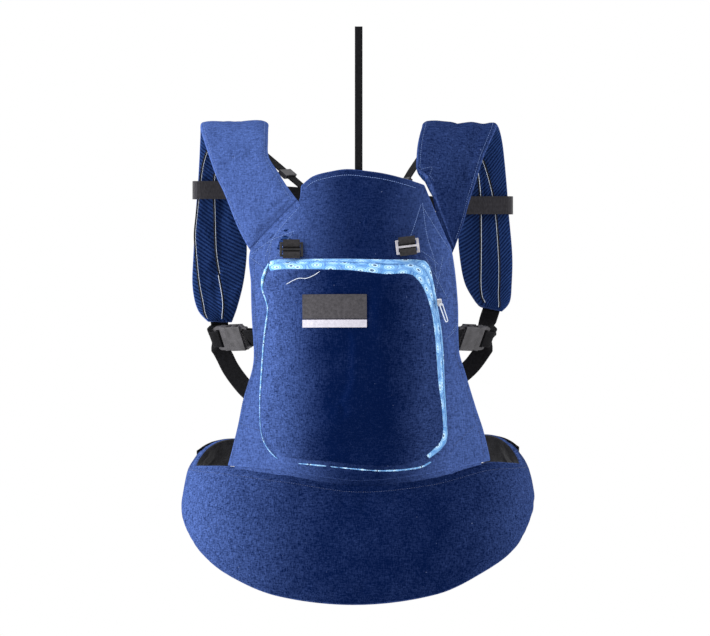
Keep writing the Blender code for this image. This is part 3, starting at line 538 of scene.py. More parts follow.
def land(tree, points, direction, lift=0.0):
    """Drops points in mm along a direction onto a piece; lift stands them off it again."""
    direction = np.broadcast_to(np.asarray(direction, float), np.shape(points))
    found = []
    for p, d in zip(points, direction):
        d = Vector(d).normalized()
        start = Vector(p) * MM - d * .05
        hit, normal, _, _ = tree.ray_cast(start, d, .12)
        if hit is None:
            continue
        if normal.dot(d) > 0:
            normal = -normal
        found.append([*((hit + normal * lift * MM) / MM), *normal])
    return np.array(found).reshape(-1, 6)


def stitches(name, lines, material, pitch=3.3, share=.72, radius=.32):
    """Real stitches along landed lines: short threads that dip into the cloth at both ends."""
    points, faces = [], []
    for line in lines:
        if len(line) < 2:
            continue
        place, normal = line[:, :3], line[:, 3:]
        steps = np.linalg.norm(np.diff(place, axis=0), axis=1)
        length = np.concatenate([[0], np.cumsum(steps)])
        count = max(int(length[-1] / pitch), 1)
        for k in range(count):
            begin = k * pitch
            if begin + pitch * share > length[-1]:
                break
            ts = begin + np.array([0, .2, .5, .8, 1]) * pitch * share
            centre = np.stack([np.interp(ts, length, place[:, c]) for c in range(3)], 1)
            out = unit(np.stack([np.interp(ts, length, normal[:, c]) for c in range(3)], 1))
            along = unit(np.gradient(centre, axis=0))
            side = unit(np.cross(along, out))
            high = np.array([-.25, .12, .2, .12, -.25])[:, None]
            size = radius * np.array([.45, .9, 1, .9, .45])[:, None]
            first = len(points)
            for c, s, o, r, h in zip(centre, side, out, size, high):
                points += [c + s * r + o * h, c + o * (r * .8 + h), c - s * r + o * h, c - o * (r * .6 - h)]
            for j in range(4):
                for i in range(4):
                    n = (i + 1) % 4
                    a, b = first + j * 4, first + j * 4 + 4
                    faces.append((a + i, b + i, b + n, a + n))
            faces += [(first, first + 1, first + 2, first + 3),
                      (first + 19, first + 18, first + 17, first + 16)]
    return make(name, points, faces, [material])


# Materials ----------------------------------------------------------------------------------------

class Shader:
    """A small helper that builds one node material."""

    def __init__(self, name, roughness=.85, **sockets):
        self.material = bpy.data.materials.new(name)
        self.material.use_nodes = True
        self.tree = self.material.node_tree
        self.shader = self.tree.nodes["Principled BSDF"]
        self.shader.inputs["Roughness"].default_value = roughness
        for key, value in sockets.items():
            self.shader.inputs[key.replace("_", " ")].default_value = value

    def add(self, kind, inputs=None, **settings):
        node = self.tree.nodes.new(kind)
        for key, value in settings.items():
            setattr(node, key, value)
        for key, value in (inputs or {}).items():
            socket = node.inputs[key]
            if isinstance(value, bpy.types.NodeSocket):
                self.tree.links.new(value, socket)
            else:
                socket.default_value = value
        return node

    def math(self, operation, a, b=0.0, clamp=False):
        return self.add("ShaderNodeMath", {0: a, 1: b}, operation=operation, use_clamp=clamp).outputs[0]

    def remap(self, value, low, high, to_low=0.0, to_high=1.0):
        node = self.add("ShaderNodeMapRange", {"Value": value, "From Min": low, "From Max": high,
                                               "To Min": to_low, "To Max": to_high})
        return node.outputs["Result"]

    def coords(self, scale=(1, 1, 1)):
        where = self.add("ShaderNodeTexCoord").outputs["Object"]
        return self.add("ShaderNodeMapping", {"Vector": where, "Scale": scale}).outputs["Vector"]

    def place(self, scale=(1, 1, 1)):
        where = self.add("ShaderNodeAttribute", attribute_name="place").outputs["Vector"]
        return self.add("ShaderNodeMapping", {"Vector": where, "Scale": scale}).outputs["Vector"]

    def noise(self, scale, detail=2.0, rough=.5):
        vector = self.coords((scale,) * 3 if isinstance(scale, (int, float)) else scale)
        return self.add("ShaderNodeTexNoise", {"Vector": vector, "Scale": 1.0, "Detail": detail,
                                               "Roughness": rough}).outputs["Fac"]

    def split(self, vector):
        return self.add("ShaderNodeSeparateXYZ", {"Vector": vector}).outputs

    def mix(self, factor, a, b):
        node = self.add("ShaderNodeMix", data_type="RGBA")
        for socket, value in ((node.inputs[0], factor), (node.inputs[6], a), (node.inputs[7], b)):
            if isinstance(value, bpy.types.NodeSocket):
                self.tree.links.new(value, socket)
            elif socket is node.inputs[0]:
                socket.default_value = value
            else:
                socket.default_value = (*value, 1)
        return node.outputs[2]

    def ramp(self, value, stops):
        node = self.add("ShaderNodeValToRGB", {"Fac": value})
        while len(node.color_ramp.elements) < len(stops):
            node.color_ramp.elements.new(.5)
        for element, (at, colour) in zip(node.color_ramp.elements, stops):
            element.position = at
            element.color = (*colour, 1)
        return node.outputs["Color"]

    def finish(self, colour=None, height=None, strength=.4, distance=.0004, rough=None):
        if colour is not None:
            self.tree.links.new(colour, self.shader.inputs["Base Color"])
        if rough is not None:
            self.tree.links.new(rough, self.shader.inputs["Roughness"])
        if height is not None:
            relief = self.add("ShaderNodeBump", {"Height": height, "Strength": strength, "Distance": distance})
            self.tree.links.new(relief.outputs["Normal"], self.shader.inputs["Normal"])
        return self.material


# Navy denim and a pale blue, which serves both for the pale fibres of the weave and for painted light.
NAVY, PALE_AND_LIT_BLUE = (.0008, .0052, .034), (.060, .105, .300)


def denim(name, depth, streak=1.0):
    """Heathered cotton: crossing warp and weft streaks, slubs and lint. depth gives 0 for navy to 1 for the pale
    blue, and carries the painted light.
    """
    s = Shader(name, 1.0, Sheen_Weight=.012, Sheen_Roughness=.5, Sheen_Tint=(.2, .4, 1, 1), Specular_IOR_Level=.01)
    warp = s.noise((760, 760, 150), 2)
    weft = s.noise((150, 300, 760), 2)
    speck = s.noise(430, 3, rough=.75)
    woven = s.math("ADD", s.math("MULTIPLY", warp, .34), s.math("MULTIPLY", weft, .34))
    woven = s.math("ADD", woven, s.math("MULTIPLY", speck, .42))
    base = s.math("ADD", depth(s), s.remap(s.noise(24, 3), .3, .7, -.03, .03))
    rim = s.remap(s.split(s.place())[2], 2.8, .6, 0, .30)
    base = s.math("ADD", base, rim, clamp=True)
    grain = s.math("MULTIPLY", s.remap(woven, .42, .70, -.85 * streak, .95 * streak), s.math("ADD", base, .10))
    tone = s.math("ADD", base, grain, clamp=True)
    colour = s.mix(tone, NAVY, PALE_AND_LIT_BLUE)
    lint = s.remap(s.noise(230, 1), .79, .81)
    colour = s.mix(s.math("MULTIPLY", lint, .22), colour, (.30, .38, .62))
    twill = s.add("ShaderNodeTexWave", {"Vector": s.coords((1, 1, 1)), "Scale": 190.0, "Distortion": 1.2,
                                        "Detail": 1.0}, wave_type="BANDS", bands_direction="DIAGONAL")
    height = s.math("ADD", s.math("MULTIPLY", twill.outputs["Fac"], .35), woven)
    return s.finish(colour, height, .5, .0006)


def painted_side_light(middle, left, right):
    """Navy in the middle, painted lighter towards the left and right as painted light on the sides. Each side is
    (amount, from x, to x, power).
    """
    def depth(s):
        x = s.split(s.coords())[0]
        total = middle
        for sign, (amount, start, end, power) in ((-1, left), (1, right)):
            share = s.math("POWER", s.remap(x, sign * start, sign * end), power)
            total = s.math("ADD", total, s.math("MULTIPLY", share, amount))
        return total
    return depth


def painted_light_by_height(low, high, top, bottom):
    """Painted light by height: the top tone blends into the bottom tone between two heights."""
    return lambda s: s.remap(s.split(s.coords())[2], low, high, bottom, top)


# Painted light: the waistband, panel and pocket are painted lighter towards their sides, most on the left.
waist_denim = denim("denim_waistband", painted_side_light(.045, (.62, .02, .235, 1.6), (.34, .08, .235, 2.4)), .9)
panel_denim = denim("denim_panel", painted_side_light(.06, (.68, .0, .105, 1.7), (.66, .02, .125, 1.8)), .6)
# Lit and shaded copies of one denim: the left strap's copy is painted lit, the right strap's painted shaded and
# lighter at its top.
strap_denim_left = denim("denim_strap_left", painted_light_by_height(.24, .55, .66, .70), .55)
strap_denim_right = denim("denim_strap_right", painted_light_by_height(.27, .42, .20, .05), .8)
pocket_denim = denim("denim_pocket", painted_side_light(.0, (.66, .025, .118, 1.7), (.26, .025, .092, 1.8)), .8)


def ribbed_lining():
    s = Shader("ribbed_lining", .95, Sheen_Weight=.01, Sheen_Roughness=.5, Sheen_Tint=(.4, .55, 1, 1),
               Specular_IOR_Level=.01)
    at = s.split(s.place())
    ragged = s.noise((40, 40, 90), 2)
    phase = s.math("ADD", s.math("MULTIPLY", at[1], 1.14), s.math("MULTIPLY", ragged, 3.0))
    rib = s.remap(s.math("SINE", phase), -1, 1)
    fine = s.noise(600, 3, rough=.7)
    tone = s.math("ADD", s.math("MULTIPLY", rib, .50), s.remap(fine, .3, .7, -.10, .30), clamp=True)
    colour = s.mix(tone, (.0010, .0040, .026), (.026, .062, .205))
    return s.finish(colour, s.math("ADD", rib, s.math("MULTIPLY", fine, .5)), .5, .0008)


def plain_cloth(name, dark, light):
    s = Shader(name, .95, Sheen_Weight=.1, Sheen_Roughness=.5, Specular_IOR_Level=.12)
    mesh_hole = s.add("ShaderNodeTexVoronoi", {"Vector": s.coords(), "Scale": 520.0}).outputs["Distance"]
    tone = s.math("MULTIPLY", s.remap(mesh_hole, .1, .6), s.remap(s.noise(90, 2), .3, .7, .4, 1))
    return s.finish(s.mix(tone, dark, light), mesh_hole, .4, .0005)


def webbing_cloth(name="woven_webbing", dark=(.0010, .0010, .0014), light=(.010, .010, .012), gloss=.8):
    """Nylon webbing: cross ribs with a chevron of warp ends, and selvedges painted paler as a painted highlight."""
    s = Shader(name, gloss, Sheen_Weight=.01, Specular_IOR_Level=.08)
    at = s.split(s.place())
    across = s.math("ABSOLUTE", at[0])
    chevron = s.math("SINE", s.math("ADD", s.math("MULTIPLY", at[1], 2.6), s.math("MULTIPLY", across, 3.4)))
    ends = s.math("SINE", s.math("MULTIPLY", at[0], 5.2))
    weave = s.remap(s.math("ADD", chevron, ends), -2, 2)
    # Painted highlight: a paler band along both selvedges, where light catches the edges.
    selvedge = s.remap(s.math("SUBTRACT", at[2], across), 1.6, .8)
    tone = s.math("ADD", s.math("MULTIPLY", weave, .6), s.remap(s.noise(300, 2), .3, .7, -.1, .3), clamp=True)
    tone = s.math("ADD", tone, s.math("MULTIPLY", selvedge, .25), clamp=True)
    return s.finish(s.mix(tone, dark, light), weave, .5, .0004)


def elastic_cloth():
    s = Shader("knitted_elastic", .8, Sheen_Weight=.08, Specular_IOR_Level=.15)
    where = s.split(s.coords())
    cord_line = s.math("SINE", s.math("MULTIPLY", where[2], 3600.0))
    fine = s.noise((900, 900, 200), 2)
    tone = s.math("ADD", s.remap(cord_line, -1, 1, 0, .55), s.remap(fine, .3, .7, -.1, .4), clamp=True)
    return s.finish(s.mix(tone, (.008, .0078, .010), (.044, .041, .048)), cord_line, .5, .0003)


def moulded(name, dark, light, rough=.45):
    """Moulded acetal: eggshell grain, faint flow mottling, scuff streaks and a painted highlight on the edges."""
    s = Shader(name, rough, Specular_IOR_Level=.3, Coat_Weight=.05, Coat_Roughness=.3)
    grain = s.noise(1800, 2)
    mottle = s.noise(110, 3)
    scuff = s.noise((300, 300, 1400), 2)
    tone = s.math("ADD", s.remap(mottle, .3, .7, 0, .5), s.remap(scuff, .62, .72, 0, .4), clamp=True)
    # Painted highlight: the rounded edges found by the bevel are painted paler, as light catching them.
    edge = s.add("ShaderNodeBevel", {"Radius": .0006}, samples=4)
    normal = s.add("ShaderNodeNewGeometry").outputs["Normal"]
    facing = s.add("ShaderNodeVectorMath", {0: edge.outputs["Normal"], 1: normal}, operation="DOT_PRODUCT")
    worn = s.remap(facing.outputs["Value"], .995, .85, 0, .5)
    tone = s.math("ADD", tone, worn, clamp=True)
    return s.finish(s.mix(tone, dark, light), grain, .25, .0002, s.remap(mottle, .3, .7, rough - .06, rough + .1))


def printed_cloth():
    """Wax-print style cotton: rows of almond eyes with dark pupils, ringed in blues, with brush strokes."""
    s = Shader("printed_cotton", .85, Sheen_Weight=.12, Specular_IOR_Level=.2)
    at = s.place((.048, .082, 1))
    swirl = s.noise(55, 2)
    spot = s.add("ShaderNodeTexVoronoi", {"Vector": at, "Scale": 1.0, "Randomness": .62},
                 voronoi_dimensions="2D")
    near = s.math("ADD", spot.outputs["Distance"], s.remap(swirl, .3, .7, -.05, .05))
    eye = s.ramp(near, [(0, (.006, .02, .07)), (.085, (.006, .02, .08)), (.11, (.56, .76, .92)),
                        (.20, (.38, .62, .86)), (.235, (.03, .14, .42)), (.275, (.22, .44, .72)),
                        (.36, (.28, .52, .78)), (.40, (.03, .13, .40)), (.47, (.10, .30, .60)),
                        (.60, (.03, .12, .38)), (.72, (.18, .40, .68)), (.9, (.03, .11, .36))])
    stroke = s.math("SINE", s.math("MULTIPLY", s.math("ADD", near, s.math("MULTIPLY", swirl, .8)), 46.0))
    colour = s.mix(s.remap(stroke, .2, 1, 0, .35), eye, (.28, .52, .80))
    fade = s.remap(s.noise(160, 2), .35, .7, 0, .22)
    colour = s.mix(fade, colour, (.34, .56, .80))
    return s.finish(colour, s.noise(900, 2), .3, .0003)


def thread(name, colour):
    s = Shader(name, .7, Sheen_Weight=.2)
    tone = s.remap(s.noise(700, 2), .3, .7)
    return s.finish(s.mix(tone, tuple(c * .7 for c in colour), colour), s.noise(2500, 1), .2, .0002)


lining = ribbed_lining()
black_cloth = plain_cloth("black_mesh_lining", (.002, .002, .003), (.016, .016, .019))
webbing = webbing_cloth()
ribbed_webbing = webbing_cloth("ribbed_webbing", (.0015, .0015, .0015), (.032, .030, .032), .6)
elastic = elastic_cloth()
plastic = moulded("moulded_plastic", (.022, .021, .024), (.092, .088, .097))
dark_plastic = moulded("moulded_plastic_dark", (.004, .004, .005), (.026, .025, .027), .4)
# Painted reflection: a light grey copy of the black plastic, for the right headrest lock where it reflects the light.
reflection_plastic = moulded("moulded_plastic_painted_reflection", (.300, .290, .320), (.520, .510, .540), .35)
print_cloth = printed_cloth()
pale_thread = thread("thread_light_blue", (.150, .260, .580))
blue_thread = thread("thread_blue", (.115, .205, .480))
white_thread = thread("thread_white", (.640, .700, .800))
navy_thread = thread("thread_navy", (.030, .060, .180))

# Camera, light and floor --------------------------------------------------------------------------

VIEW_CENTRE, VIEW_DISTANCE = Vector((-.004, 0, .217)), 9.53
camera = bpy.data.objects.new("camera", bpy.data.cameras.new("camera"))
camera.data.lens, camera.data.sensor_width = 350, 36
camera.location = VIEW_CENTRE + Vector((0, -VIEW_DISTANCE, 0))
camera.rotation_euler = (math.radians(90), 0, 0)
bpy.context.scene.collection.objects.link(camera)
bpy.context.scene.camera = camera
bpy.context.scene.view_settings.view_transform = "Standard"

world = bpy.data.worlds.new("studio")
world.use_nodes = True
world.node_tree.nodes["Background"].inputs["Color"].default_value = (1, 1, 1, 1)
world.node_tree.nodes["Background"].inputs["Strength"].default_value = 1.0
bpy.context.scene.world = world


def softbox(name, place, target, size, watts):
    light = bpy.data.lights.new(name, "AREA")
    light.shape, light.size, light.size_y = "RECTANGLE", *size
    light.energy = watts
    item = bpy.data.objects.new(name, light)
    item.location = place
    item.rotation_euler = (Vector(target) - Vector(place)).to_track_quat("-Z", "Y").to_euler()
    bpy.context.scene.collection.objects.link(item)


softbox("left_box", (-1.9, -.75, .75), (0, 0, .25), (1.0, 1.6), 56)
softbox("right_box", (1.9, -.55, .6), (0, 0, .25), (.8, 1.5), 14)
softbox("top_box", (-.2, -.4, 2.1), (0, 0, .3), (1.4, .9), 12)

floor = make("floor", [(-6000, -6000, 0), (6000, -6000, 0), (6000, 6000, 0), (-6000, 6000, 0)], [(0, 1, 2, 3)], [])
floor.location.z = CAD_BOX[0][2] - .45
white = Shader("studio_floor", .9, Base_Color=(.96, .96, .96, 1), Specular_IOR_Level=0.0).material
floor.data.materials.append(white)

# Body panel ---------------------------------------------------------------------------------------

FRONT_ALLOWANCE = 1.6


def lining_depth(u, v):
    return -(2 * FABRIC + 2 * GAP + .6 + panel_pad(u, v))


body = Pad("body_panel", panel, 130, 150, lambda u, v: 0 * u, lining_depth, [panel_denim, lining])
jobs = [(body.item, body.rim, 1.2, .012, 2.5, .8)]

band = Pad("waistband", waist, 190, 44, lambda u, v: waist_pad(u, v) * .9 + FABRIC,
           lambda u, v: -waist_pad(u, v) * .9 - FABRIC, [waist_denim, black_cloth])
jobs.append((band.item, band.rim, 4.0, .008, 3.2, 1.2))

straps = {}
for side, surface, cloth in (("left", left_strap, strap_denim_left), ("right", right_strap, strap_denim_right)):
    pad = Pad(f"shoulder_strap_{side}", surface, 36, 190, lambda u, v: strap_pad(u, v) * .9 + FABRIC,
              lambda u, v: -strap_groove(u, v) * .9 - FABRIC, [cloth, lining])
    straps[side] = pad
    jobs.append((pad.item, pad.rim, 3.5, .010, 2.6, 1.0))

# The pocket's face is one sheet of cloth sewn along its rim.
POCKET_COLUMNS, POCKET_ROWS = 84, 90
pu, pv = (a.ravel() for a in np.meshgrid(np.linspace(0, 1, POCKET_COLUMNS), np.linspace(0, 1, POCKET_ROWS)))
pocket_points = pocket(pu, pv)
pocket_item = make("pocket_face", pocket_points, grid_faces(POCKET_COLUMNS, POCKET_ROWS).tolist(), [pocket_denim])
jobs.append((pocket_item, rim_of(POCKET_COLUMNS, POCKET_ROWS), .6, .014, 3.0, .8))

swell(jobs)

# Body panel: folds, the sewn edge, darts and the seams at its foot --------------------------------
x, z = body.middle[:, 0], body.middle[:, 2]
inside = ease(body.edge / 14)
folds = rumple(body.middle, (26, 40, 60), 1) * 1.1 + rumple(body.middle, (70, 60, 16), 2) * .7
hollow = -4.5 * bump(x, -8, 62) * bump(z, 312, 15)
hollow += -1.4 * bump(x, 60, 40) * bump(z, 330, 16)
hollow += -1.2 * bump(z - (x + 128) * .55, 352, 9) * bump(x, -88, 26)
sewn_edge = -.75 * bump(body.edge, 5.2, 1.0) + .35 * bump(body.edge, 2.2, 1.6)


def line_distance(x, z, a, b):
    """How far (x, z) is from the segment a to b, in mm."""
    a, b = np.array(a, float), np.array(b, float)
    p = np.stack([x, z], -1) - a
    t = np.clip((p @ (b - a)) / ((b - a) @ (b - a)), 0, 1)
    return np.linalg.norm(p - t[:, None] * (b - a), axis=1)


SEAMS = [((-107, 26), (-107, 2)), ((119, 28), (119, 8)), ((-157, 77), (-128, 68)), ((127, 47), (156, 76)),
         ((118, 52), (119, 26)), ((128, 128), (124, 60))]
creases = sum(-.9 * bump(line_distance(x, z, a, b), 0, 1.3) for a, b in SEAMS)
near_pocket = (x > -128) & (x < 118) & (z > 18) & (z < 296)
relief = folds * inside * np.where(near_pocket, .4, 1) + hollow + creases
relief = np.minimum(relief, FRONT_ALLOWANCE)
# The cloth sinks under the two headrest locks, so that they tilt clear of it.
for lock_x, lock_z in ((-86, 308), (66, 314)):
    under_lock = bump(x, lock_x, 34) * bump(z, lock_z, 26)
    relief = relief * (1 - under_lock) - 2.4 * under_lock
body.push(relief + sewn_edge, relief + .9 * rumple(body.middle, (14, 14, 30), 3) * inside)
smooth(body.item)
show(body.item, "carrier", "panel_outer", "panel_lining", "headrest_pad", "leg_pad_left", "leg_pad_right",
     slot="denim")

# Strips of the same cloth close the panel's foot behind the waistband and the straps' roots.


def bridge(name, near, far, material, columns=60, bulge=1.0):
    """A closed strip of cloth between two rows of points, rounded outwards."""
    rows = 7
    share = np.linspace(0, 1, rows)[:, None, None]
    outer = near[None] * (1 - share) + far[None] * share
    outer[..., 1] -= np.sin(np.pi * share[..., 0]) * bulge
    outer = outer.reshape(-1, 3)
    across = np.tile(np.linspace(0, 200, columns), rows)
    place = np.stack([across, np.repeat(share.ravel() * 20, columns), np.full(len(outer), 20.0)], 1)
    return shell(name, outer, outer + [0, FABRIC, 0], columns, rows, material, place)


# Waistband: soft vertical drag lines, a rolled top and the turned hem -----------------------------
turn = (2 * band.u - 1) * WAIST_END
inside = ease(band.edge / 12)
drag = rumple(np.stack([turn * 4, band.v * 30, turn * 0], 1), (30, 26, 30), 4) * .8
drag += rumple(band.middle, (55, 60, 34), 5) * 1.2
top_fold = -1.1 * bump(band.v, .955, .016) + .5 * bump(band.v, .93, .02)
hem = -.5 * bump(band.v, .045, .012)
pucker = .5 * rumple(band.middle, (5, 5, 22), 6) * np.exp(-(1 - band.v) * 16)
band.push(drag * inside + top_fold + hem + pucker, -(drag * .7 * inside + .5 * rumple(band.middle, 16, 7) * inside))
smooth(band.item)
show(band.item, "carrier", "waistband_cover", "waistband_lining", "waistband_foam", slot="denim")

# Shoulder straps: the folded edge, drag lines at the bend and ribbed puckers on the lining ------
for side, pad in straps.items():
    inside = ease(pad.edge / 9)
    station = pad.v * STATIONS
    over = bump(station, 6, 1.2)
    drag = rumple(pad.middle, (16, 24, 44), 8 if side == "left" else 9) * 1.0
    drag += rumple(pad.middle, (40, 20, 9), 10) * .5 * over
    edge_seam = -.6 * bump(pad.edge, 4.6, .9)
    if side == "left":
        drag -= 1.9 * bump(line_distance(pad.middle[:, 0], pad.middle[:, 2], (-92, 384), (-120, 361)), 0, 2.6) \
            * (station < 3)
        drag -= .5 * bump(pad.middle[:, 0], -161, 1.1) * (station < 6)
    else:
        valley = bump(pad.u, .80, .085) * ease((station - 1.3) / 1.5) * (1 - ease((station - 5.4) / 1.2))
        drag -= 5.2 * valley
        drag -= 2.4 * bump(pad.u, .47, .06) * bump(station, 5.9, .9)
    ragged = rumple(pad.middle, (26, 26, 11), 11)
    ribs = np.sin(pad.along * 1.13 + ragged * 2.6) * (.55 + .25 * rumple(pad.middle, 18, 12)) * inside
    groove = 2.4 * bump(pad.u, .47, .07) * ease((station - 7.6) / 1.5) * (1 - ease((station - 11.2) / 1))
    cover = np.maximum(drag, -strap_pad(pad.u, pad.v) * .9)
    pad.push(cover * inside + edge_seam, -(ribs - np.minimum(groove, strap_groove(pad.u, pad.v) * .6)))
    smooth(pad.item)
    show(pad.item, "carrier", f"strap_cover_{side}", f"strap_lining_{side}", f"strap_foam_{side}", slot="denim")

foot_x = np.linspace(-169, 169, 60)
foot = on_panel(foot_x, bottom_seam(foot_x) + 5, -.7)
ring = waist(np.linspace(.14, .86, 400), np.full(400, .955))
seat = np.stack([foot_x, np.interp(foot_x, ring[:, 0], ring[:, 1]), np.interp(foot_x, ring[:, 0], ring[:, 2])], -1)
strips = [bridge("panel_foot_strip", foot, seat, panel_denim)]
for side, pad in straps.items():
    u = np.linspace(.0, 1, 60)
    near = pad.surface(u, np.full(60, .014))
    inward = unit(pad.surface(u, np.zeros(60)) - pad.surface(u, np.full(60, .05)))
    inside_point = near + inward * 16
    far = on_panel(inside_point[:, 0], inside_point[:, 2], -1.9)
    strips.append(bridge(f"strap_root_strip_{side}", near, far, pad.item.data.materials[0], bulge=.6))
for strip in strips:
    show(strip, "carrier", slot="denim")

# Pocket face --------------------------------------------------------------------------------------
sheet = points_of(pocket_item)
out = normal_of(pocket, pu, pv)
edge = np.minimum(np.minimum(pu, 1 - pu) * POCKET_WIDTH, np.minimum(pv, 1 - pv) * POCKET_HEIGHT)
rim_near = ease(edge / 16)
slack = rumple(sheet, (34, 30, 46), 13) * 1.5 + rumple(sheet, (60, 30, 18), 14) * .6
slack -= 3.2 * bump(line_distance(sheet[:, 0], sheet[:, 2], (-118, 262), (-104, 276)), 0, 7)
slack -= 2.0 * bump(line_distance(sheet[:, 0], sheet[:, 2], (-102, 44), (-84, 30)), 0, 5)
slack -= 2.2 * bump(line_distance(sheet[:, 0], sheet[:, 2], (86, 44), (70, 52)), 0, 6)
label_zone = ease((np.maximum(np.abs(sheet[:, 0] + 29.5) - 42, np.abs(sheet[:, 2] - 226) - 23)) / 14)
sheet = sheet + out * (slack * rim_near * label_zone)[:, None]
sheet = np.where(label_zone[:, None] < 1, sheet * label_zone[:, None] + pocket(pu, pv) * (1 - label_zone)[:, None],
                 sheet)
bpy.data.objects.remove(pocket_item)
place = np.stack([pu * POCKET_WIDTH, pv * POCKET_HEIGHT, edge + 1.5], 1)
pocket_face = shell("pocket_face", sheet + out * (FABRIC * .9), sheet, POCKET_COLUMNS, POCKET_ROWS,
                    pocket_denim, place)
smooth(pocket_face)
show(pocket_face, "carrier", "pocket_front", slot="denim")

# Pocket side band of printed cotton, with small gathers -------------------------------------------
BAND_COLUMNS, BAND_ROWS = 18, 260
band_v = np.linspace(0, 1, BAND_ROWS)
gu, gv = (a.ravel() for a in np.meshgrid(np.linspace(0, 1, BAND_COLUMNS), band_v))
ring = gusset(gu, gv)
ring_out = normal_of(gusset, gu, gv)
ring_out = ring_out * np.sign(-ring_out[:, 1])[:, None]
run = np.linalg.norm(np.diff(gusset(np.full(BAND_ROWS, .5), band_v), axis=0), axis=1)
along_band = np.interp(gv, band_v, np.concatenate([[0], np.cumsum(run)]))
wide = np.linalg.norm(gusset(np.ones(BAND_ROWS), band_v) - gusset(np.zeros(BAND_ROWS), band_v), axis=1)
gather = rumple(np.stack([gu * 12, along_band, gv * 0], 1), (14, 17, 10), 15)
swelling = np.sin(np.pi * gu) * (1.3 + 1.0 * gather)
place = np.stack([along_band, gu * np.interp(gv, band_v, wide), np.full(len(gu), 9.0)], 1)
side_band = shell("pocket_side_band", ring + ring_out * (swelling + .5)[:, None],
                  ring + ring_out * (swelling - .5)[:, None], BAND_COLUMNS, BAND_ROWS, print_cloth, place)
show(side_band, "carrier", "pocket_gusset", slot="printed_trim")

# Piping: thick at the pocket's upper left, thin down its side, showing again at the foot --------
piping = through(PIPING)(np.linspace(0, 1, PIPING_SAMPLES))
swell_at = track([(0, 1.3), (.05, 2.1), (.10, 2.3), (.16, 1.5), (.24, 1.1), (.38, 1.1), (.5, .5), (.62, .7),
                  (.70, .45), (.76, .9), (.85, 1.2), (.95, 1.3), (1, 1.0)])(np.linspace(0, 1, PIPING_SAMPLES))
swell_at = swell_at * (1 + .18 * rumple(np.stack([piping[:, 0], piping[:, 1], piping[:, 0] * 0], 1), 6, 16))
edge_cord = tube("pocket_edge_cord", on_panel(piping[:, 0], piping[:, 1], swell_at + .6), swell_at, print_cloth, 8)
show(edge_cord, "carrier", "pocket_piping", slot="printed_trim")

# Rails: a black cord with a pale line along its inner side, a painted highlight -------------------
for side, surface, stations in (("left", left_strap, RAIL_LEFT), ("right", right_strap, RAIL_RIGHT)):
    at = through(stations)(np.linspace(0, 1, RAIL_SAMPLES))
    u, v = at[:, 0], at[:, 1] / STATIONS
    away = strap_pad(np.maximum(u, .05), v) * .9 + FABRIC + RAIL_RADIUS + 2.2
    line = surface(u, v) - normal_of(surface, np.clip(u, 0, 1), v) * away[:, None]
    rail = tube(f"rail_cord_{side}", line, RAIL_RADIUS, webbing, 10)
    show(rail, "carrier", f"rail_{side}", slot="cord")
    inward = unit(surface(np.full(RAIL_SAMPLES, .5), v) - surface(u, v))
    # The pale line is a thin white cord, a painted highlight along the rail's edge.
    pale = tube(f"rail_highlight_{side}", line + inward * 1.3 + np.array([0, -.5, 0]), .42, white_thread, 6)
    show(pale, "carrier", slot="cord")

# Webbing ------------------------------------------------------------------------------------------


def frame_at(origin, along, across):
    x = unit(np.array(along, float))
    y = np.array(across, float)
    y = unit(y - x * (y @ x))
    return np.array(origin, float), np.stack([x, y, np.cross(x, y)])


def in_frame(frame_of, points):
    origin, axes = frame_of
    return origin + np.asarray(points, float) @ axes


def loop_over_bar(frame_of, scale, half, reach, thick=WEBBING_THICK, tail_reach=None):
    """Centres of webbing folded round a buckle's end bar, from its near side to its far side."""
    bar, turn_at = (32.2, 27.6) if half == "female" else (-19.1, -13.8)
    away = math.copysign(1, bar)
    spread = BAR_HALF * scale + GAP + thick / 2 + .15
    bar, turn_at = bar * scale, turn_at * scale
    inner_x, corner = turn_at + away * 2.5 * scale, turn_at + away * .6 * scale
    local = [(bar + away * reach, -spread), (inner_x, -spread), (corner, -spread * .7), (turn_at, 0),
             (corner, spread * .7), (inner_x, spread),
             (bar + away * (reach if tail_reach is None else tail_reach), spread)]
    return [in_frame(frame_of, (a, 0, b)) for a, b in local]


def one(surface, a, b):
    return surface(np.array([float(a)]), np.array([float(b)]))[0]


def one_normal(surface, a, b):
    return normal_of(surface, np.array([float(a)]), np.array([float(b)]))[0]


left_frame = frame_at((-176, -64, 190), (.82, -.57, .03), (.34, .3, -.9))
right_frame = frame_at((160, -60, 190), (-.77, -.64, .03), (.34, -.3, .9))
waist_frame = frame_at((4, 142, 26), (-1, 0, 0), (0, 0, 1))

SIDE_RUNS = {
    "left": (left_strap, left_frame,
             [((-191, 11, 206), (1, 0, 0)), ((-192, 2, 202), (.95, .1, -.3)), ((-194, -10, 199), (.8, .2, -.6)),
              ((-198, -24, 196), (.6, .3, -.8)), ((-202, -37, 192), (.45, .3, -.9))],
             [((-199, -35, 187), (.42, .28, -.85)), ((-192, -28, 178), (.8, .1, -.5)), ((-184, -30, 165), (1, 0, .1)),
              ((-176, -32, 149), (.9, 0, .4)), ((-165, -35, 133), (.85, 0, .55)), ((-152, -41, 118), (.8, 0, .65)),
              ((-137, -49, 106), (.7, 0, .75)), ((-121, -56, 97), (.6, 0, .85))],
             (-100, -122, -1)),
    "right": (right_strap, right_frame,
              [((180, 11, 215), (1, 0, 0)), ((177, 2, 205), (.95, -.1, .3)), ((178, -10, 200), (.8, -.2, .6)),
               ((182, -24, 196), (.6, -.3, .8)), ((186, -35, 192), (.45, -.3, .9))],
              [((183, -33, 187), (.42, -.28, .85)), ((176, -26, 178), (.8, -.1, .5)), ((167, -27, 165), (1, 0, -.1)),
               ((157, -29, 152), (.9, 0, -.4)), ((144, -34, 140), (.8, 0, -.65)), ((128, -43, 129), (.65, 0, -.8)),
               ((111, -50, 122), (.5, 0, -.9))],
              (94, 112, 1)),
}
